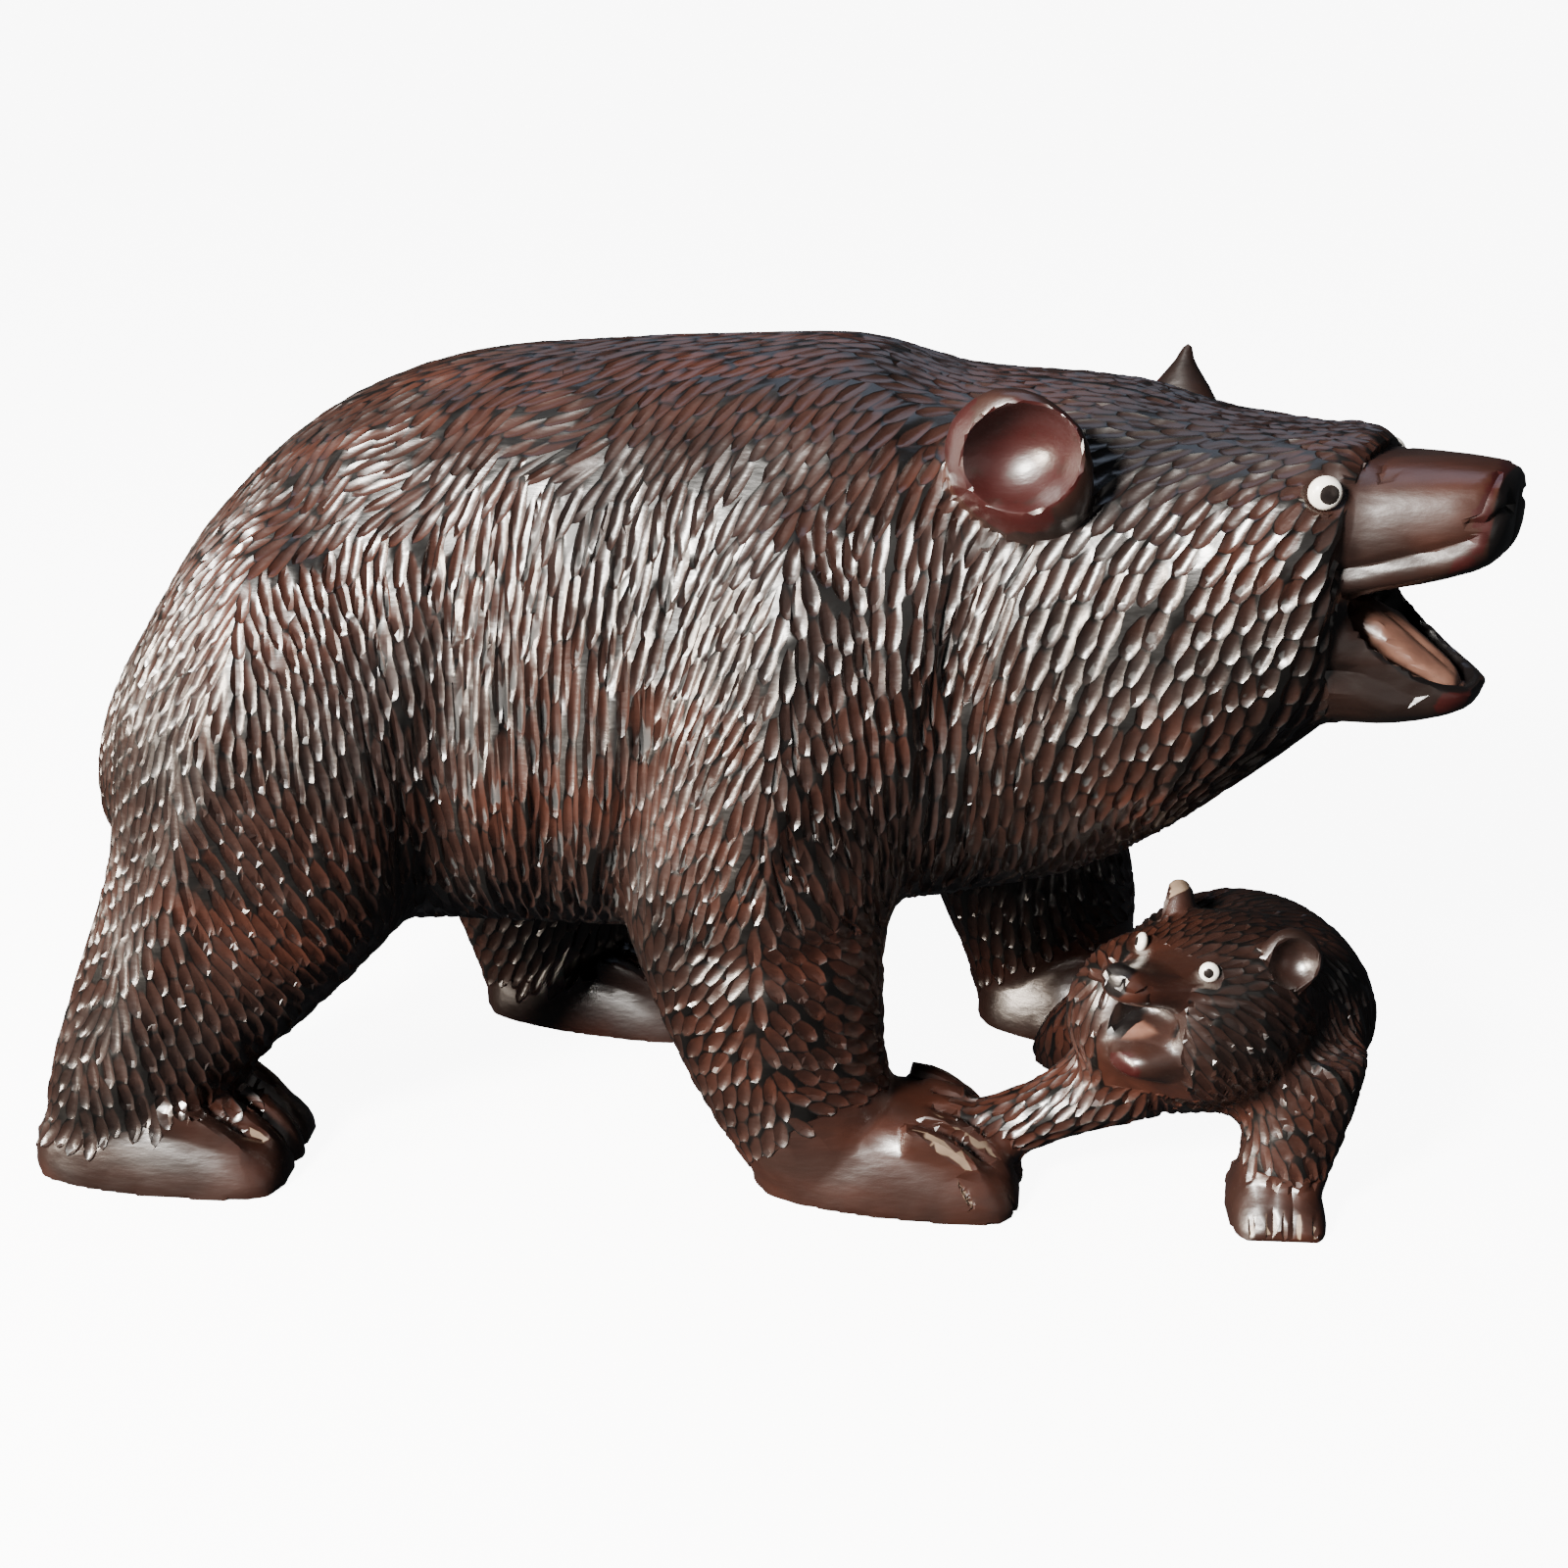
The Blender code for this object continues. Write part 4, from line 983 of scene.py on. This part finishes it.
# The edges of the open mouth are eased with a scraper, and then the mesh is thinned.
in_mouth = inside(seen_from(points, mother_head), 84, 120, 25, -46, -4)
eased_places = carving.vertex_groups.new(name="mouth")
eased_places.add(np.flatnonzero(in_mouth).tolist(), 1.0, "REPLACE")
work(carving, "SMOOTH", factor=0.5, iterations=MOUTH_ROUNDING, vertex_group="mouth")
carving.vertex_groups.clear()
CARVING_TRIANGLES = 196000
CREASE = math.radians(28)
carving.data.calc_loop_triangles()
work(carving, "DECIMATE", ratio=CARVING_TRIANGLES / len(carving.data.loop_triangles))
pick(carving)
bpy.ops.object.shade_smooth_by_angle(angle=CREASE)

# The finish: dark walnut stain under a clear lacquer, redder in random patches,
# black on the cub's nose, red along the lips and ear rims, and bare pale wood on the claws.
# Painted shade: thin dark lines along the ridges between cuts, black in the deepest cuts, and
# black on the front of the mother's nose and inside both open mouths.
points = points_of(carving)
bare = np.empty(len(points), dtype=np.float32)
carving.data.attributes["bare"].data.foreach_get("value", bare)
pink = np.full(len(points), FAR_AWAY)
for index in np.flatnonzero(inside(seen_from(points, mother_head), 70, 120, 20, -44, -8)):
    gap = tongue_skin.find_nearest(Vector(points[index]), 5.0)[3]
    pink[index] = gap if gap is not None else FAR_AWAY
for index in np.flatnonzero(inside(seen_from(points, cub_head), 20, 58, 6, -12, -6)):
    gap = cub_mouth_skin.find_nearest(Vector(points[index]), 5.0)[3]
    pink[index] = gap if gap is not None else FAR_AWAY
NOSE_BAND = ((118.6, 27), (117.4, 21), (116.4, 10), (114.8, 1), (113, -4))
EAR_RIM = (((-14, -66, 14), (-17, -66, 26), (-12, -65, 36)), ((-14, -64, 14), (-2, -62, 6), (12, -63, 8)),
           ((-10, -60, 24), (-4, -56, 24)))
spots = seen_from(points, mother_head)
red = near_line(spots[:, (0, 2)], NOSE_BAND) - 1.9
red = np.minimum(red, near_line(spots, [(117, -9, -39), (114, -14, -39.5)]) - 4)
for side in (-1, 1):
    for line in EAR_RIM:
        red = np.minimum(red, near_line(spots, [(a, -b * side, c) for a, b, c in line]) - 5)
for index in np.flatnonzero((np.abs(np.abs(spots[:, 1]) - 56) < 13) & (np.abs(spots[:, 0] - 3) < 25)):
    for cup_skin in ear_skins[1::2]:
        gap = cup_skin.find_nearest(Vector(points[index]), 2.0)[3]
        red[index] = min(red[index], gap - 1.2) if gap is not None else red[index]
# Painted shade: the front of the mother's nose and the walls inside both open mouths are coloured black where
# shade falls; the black on the cub's nose is its own colour.
black = np.where(spots[:, 2] > -7, 119.2 - spots[:, 0], FAR_AWAY)
for index in np.flatnonzero(inside(spots, 80, 118, 23, -42, -2)):
    gap = mouth_skin.find_nearest(Vector(points[index]), 2.0)[3]
    black[index] = min(black[index], gap - 0.9) if gap is not None else black[index]
spots = seen_from(points, cub_head)
black = np.minimum(black, near_line(spots, [(50, 0, 15), (54, 0, 13)]) - 4.5)
for index in np.flatnonzero(inside(spots, 30, 58, 10, -13, 5)):
    gap = cub_mouth_skin.find_nearest(Vector(points[index]), 2.0)[3]
    black[index] = min(black[index], gap - 0.9) if gap is not None else black[index]
red = np.minimum(red, near_line(spots, [(38, 0, -18), (47, 0, -16)]) - 5)
bare = np.minimum(bare, np.linalg.norm(spots - (3, -24, 21), axis=1) - 6)
carving.data.attributes.remove(carving.data.attributes["bare"])
for label, values in (("bare", bare), ("pink", pink), ("red", red), ("black", black)):
    layer = carving.data.attributes.new(label, "FLOAT", "POINT")
    layer.data.foreach_set("value", values.astype(np.float32))


class Recipe:
    """Short ways to lay out a material's nodes."""

    def __init__(self, name):
        self.material = bpy.data.materials.new(name)
        self.material.use_nodes = True
        self.tree = self.material.node_tree
        self.shader = self.tree.nodes["Principled BSDF"]

    def node(self, kind, **settings):
        made = self.tree.nodes.new(kind)
        for setting, value in settings.items():
            setattr(made, setting, value)
        return made

    def link(self, source, target):
        self.tree.links.new(source, target)

    def attribute(self, label):
        return self.node("ShaderNodeAttribute", attribute_name=label).outputs["Fac"]

    def noise(self, scale, detail=3.0, stretch=(1, 1, 1)):
        place = self.node("ShaderNodeTexCoord").outputs["Object"]
        mapping = self.node("ShaderNodeMapping")
        mapping.inputs["Scale"].default_value = stretch
        self.link(place, mapping.inputs["Vector"])
        texture = self.node("ShaderNodeTexNoise")
        texture.inputs["Scale"].default_value = scale
        texture.inputs["Detail"].default_value = detail
        self.link(mapping.outputs["Vector"], texture.inputs["Vector"])
        return texture.outputs["Fac"]

    def ramp(self, source, low, high, start=0.0, end=1.0):
        made = self.node("ShaderNodeMapRange", interpolation_type="SMOOTHSTEP")
        made.inputs["From Min"].default_value = low
        made.inputs["From Max"].default_value = high
        made.inputs["To Min"].default_value = start
        made.inputs["To Max"].default_value = end
        self.link(source, made.inputs["Value"])
        return made.outputs["Result"]

    def blend(self, share, first, second, kind="MIX"):
        made = self.node("ShaderNodeMix", data_type="RGBA", blend_type=kind)
        self.link(share, made.inputs["Factor"])
        for socket, value in ((made.inputs[6], first), (made.inputs[7], second)):
            if isinstance(value, tuple):
                socket.default_value = (*value, 1)
            else:
                self.link(value, socket)
        return made.outputs[2]


wood = Recipe("lacquered_wood")
patches = wood.ramp(wood.noise(14, 4), 0.38, 0.66)
streaks = wood.ramp(wood.noise(60, 5, (0.25, 1, 1)), 0.35, 0.7)
wood_colour = wood.blend(patches, (0.007, 0.0036, 0.0028), (0.034, 0.0105, 0.0062))
wood_colour = wood.blend(streaks, wood_colour, (0.015, 0.0062, 0.0044))
# Painted shade: thin near-black lines along the ridges, where one cut meets the next.
wood_colour = wood.blend(wood.ramp(wood.attribute("ridge"), 0.0, 0.30), (0.0008, 0.0006, 0.0005), wood_colour)
# Painted shade: black in the deepest cuts and clefts.
wood_colour = wood.blend(wood.ramp(wood.attribute("groove"), 1.25, 1.7), wood_colour, (0.001, 0.001, 0.001))
red_edge = wood.node("ShaderNodeMath", operation="ADD")
wood.link(wood.attribute("red"), red_edge.inputs[0])
wood.link(wood.ramp(wood.noise(160, 4), 0.3, 0.7, -1.2, 1.2), red_edge.inputs[1])
wood_colour = wood.blend(wood.ramp(red_edge.outputs[0], 0.6, -0.6), wood_colour, (0.022, 0.0032, 0.0028))
# Black from this mask is painted shade on the mother's nose front and inside the mouths, and the cub's own
# dark nose.
wood_colour = wood.blend(wood.ramp(wood.attribute("black"), 0.4, -0.4), wood_colour, (0.003, 0.002, 0.002))
bare_grain = wood.ramp(wood.noise(90, 3, (0.3, 1, 1)), 0.3, 0.7)
bare_colour = wood.blend(bare_grain, (0.11, 0.078, 0.054), (0.23, 0.165, 0.115))
wood_colour = wood.blend(wood.ramp(wood.attribute("bare"), 0.3, 0.0), wood_colour, bare_colour)
pink_colour = wood.blend(wood.ramp(wood.noise(120, 3), 0.3, 0.7), (0.095, 0.045, 0.032), (0.17, 0.085, 0.06))
wood_colour = wood.blend(wood.ramp(wood.attribute("pink"), 1.4, 0.7), wood_colour, pink_colour)
wood.link(wood_colour, wood.shader.inputs["Base Color"])
gloss = wood.ramp(wood.noise(35, 4), 0.3, 0.75, 0.29, 0.39)
dull = wood.node("ShaderNodeMath", operation="MAXIMUM")
wood.link(gloss, dull.inputs[0])
wood.link(wood.ramp(wood.attribute("groove"), 1.2, 1.6, 0.0, 0.8), dull.inputs[1])
wood.link(dull.outputs[0], wood.shader.inputs["Roughness"])
wood.shader.inputs["IOR"].default_value = 1.8
bump = wood.node("ShaderNodeBump")
bump.inputs["Strength"].default_value = 0.25
bump.inputs["Distance"].default_value = 0.0006
wood.link(wood.noise(420, 4, (0.3, 1, 1)), bump.inputs["Height"])
wood.link(bump.outputs["Normal"], wood.shader.inputs["Normal"])
carving.data.materials.clear()
carving.data.materials.append(wood.material)
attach(carving, "root")
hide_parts("bear_and_cub")

# The eyes: small turned discs of white bone with a black pupil burnt in, glued into sockets.
# Each is drawn where the carver's bead is, flat and round, its pupil set a little forward.
white = Recipe("eye_bone")
bone_grain = white.ramp(white.noise(300, 3), 0.3, 0.7)
white.link(white.blend(bone_grain, (0.72, 0.69, 0.62), (0.86, 0.84, 0.78)), white.shader.inputs["Base Color"])
white.shader.inputs["Roughness"].default_value = 0.28
pupil = Recipe("eye_pupil")
burnt_grain = pupil.ramp(pupil.noise(300, 3), 0.3, 0.7)
burnt = pupil.blend(burnt_grain, (0.006, 0.005, 0.005), (0.014, 0.011, 0.010))
pupil.link(burnt, pupil.shader.inputs["Base Color"])
pupil.shader.inputs["Roughness"].default_value = 0.16
EYE_FLATNESS = 0.6
EYES = {
    "mother_right_eye": (mother_head, (0.40, -0.90, 0.15), (0.62, -0.78, 0.06), 4.5, 33),
    "mother_left_eye": (mother_head, (0.40, 0.90, 0.15), (0.62, 0.78, 0.06), 4.5, 33),
    "cub_right_eye": (cub_head, (0.74, -0.62, 0.26), (0.80, -0.55, 0.22), 2.9, 28),
    "cub_left_eye": (cub_head, (0.74, 0.62, 0.26), (0.80, 0.55, 0.22), 2.9, 28),
}
for node, (frame_matrix, facing, look, radius, pupil_angle) in EYES.items():
    low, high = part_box(node)
    centre = (low + high) / 2
    outward = (frame_matrix.to_3x3() @ Vector(facing)).normalized()
    looking = (frame_matrix.to_3x3() @ Vector(look)).normalized()
    bpy.ops.mesh.primitive_uv_sphere_add(segments=48, ring_count=30, radius=1.0)
    eye = bpy.context.object
    eye.name = node + "_bead"
    eye.data.transform(Vector((0, 0, 1)).rotation_difference(looking).to_matrix().to_4x4())
    eye.data.materials.append(white.material)
    eye.data.materials.append(pupil.material)
    for face in eye.data.polygons:
        away = math.degrees(face.center.normalized().angle(looking))
        face.material_index = 1 if away < pupil_angle else 0
    flatten = Matrix.Scale(EYE_FLATNESS, 4, outward)
    eye.data.transform(Matrix.Translation(centre) @ flatten @ Matrix.Scale(radius * MM, 4))
    pick(eye)
    bpy.ops.object.shade_smooth()
    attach(eye, "root")
    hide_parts(node)

# The stage: a white table and a white wall all round, both so bright that they show no shade.
# A large lamp stands high on the left with a low warm one beside it, and a faint sky is above.
TABLE_SIZE = 8
WALL_AWAY = 4
WHITENESS = 9


def glowing(piece, name, colour, roughness):
    finish = bpy.data.materials.new(name)
    finish.use_nodes = True
    shader = finish.node_tree.nodes["Principled BSDF"]
    shader.inputs["Base Color"].default_value = (*colour, 1)
    shader.inputs["Emission Color"].default_value = (1, 1, 1, 1)
    shader.inputs["Emission Strength"].default_value = WHITENESS
    shader.inputs["Roughness"].default_value = roughness
    piece.name = name
    piece.data.materials.append(finish)
    piece.visible_diffuse = False
    piece.visible_glossy = False


bpy.ops.mesh.primitive_plane_add(size=TABLE_SIZE, location=(0, 0, -0.0002))
glowing(bpy.context.object, "floor", (0.6, 0.6, 0.6), 0.9)
bpy.ops.mesh.primitive_uv_sphere_add(segments=64, ring_count=32, radius=WALL_AWAY, location=(0, 0, 0))
backdrop = bpy.context.object
glowing(backdrop, "backdrop", (0, 0, 0), 0.5)
backdrop.visible_shadow = False
backdrop.visible_transmission = False


def soft_light(name, place, size, power, colour, aim=(0, 0, 0.12)):
    bpy.ops.object.light_add(type="AREA", location=place)
    light = bpy.context.object
    light.name = name
    light.data.shape = "DISK"
    light.data.size = size
    light.data.energy = power
    light.data.color = colour
    light.rotation_euler = (Vector(aim) - Vector(place)).to_track_quat("-Z", "Y").to_euler()
    return light


soft_light("key", (-1.0, -1.35, 1.05), 0.45, 190, (1.0, 0.96, 0.90))
soft_light("low_key", (-1.5, -0.9, 0.40), 0.40, 80, (1.0, 0.86, 0.72), (0, 0, 0.06))
soft_light("sky", (0.1, 0.6, 2.0), 1.6, 7, (0.66, 0.77, 1.0))
soft_light("fill", (1.3, -1.4, 0.6), 1.2, 1.2, (1.0, 0.95, 0.90))
world = bpy.data.worlds.new("studio")
bpy.context.scene.world = world
world.use_nodes = True
world.node_tree.nodes["Background"].inputs["Color"].default_value = (0.9, 0.93, 1.0, 1)
world.node_tree.nodes["Background"].inputs["Strength"].default_value = 0.035

# The camera stands a little above the carving and looks down on it, as in the photograph.
CAMERA_TURN = math.radians(3.5)
CAMERA_PITCH = math.radians(21.5)
CAMERA_AWAY = 0.594
CAMERA_HEIGHT = 0.34
level = Vector((-math.sin(CAMERA_TURN), math.cos(CAMERA_TURN), 0))
camera_data = bpy.data.cameras.new("camera")
camera_data.lens = 45
camera_data.sensor_width = 36
camera_data.clip_start = 0.01
camera = bpy.data.objects.new("camera", camera_data)
bpy.context.scene.collection.objects.link(camera)
camera.location = Vector((DRAWING_SHIFT[0] * MM, DRAWING_SHIFT[1] * MM, CAMERA_HEIGHT)) - CAMERA_AWAY * level
sight = level * math.cos(CAMERA_PITCH) - Vector((0, 0, math.sin(CAMERA_PITCH)))
camera.rotation_euler = sight.to_track_quat("-Z", "Y").to_euler()
bpy.context.scene.camera = camera
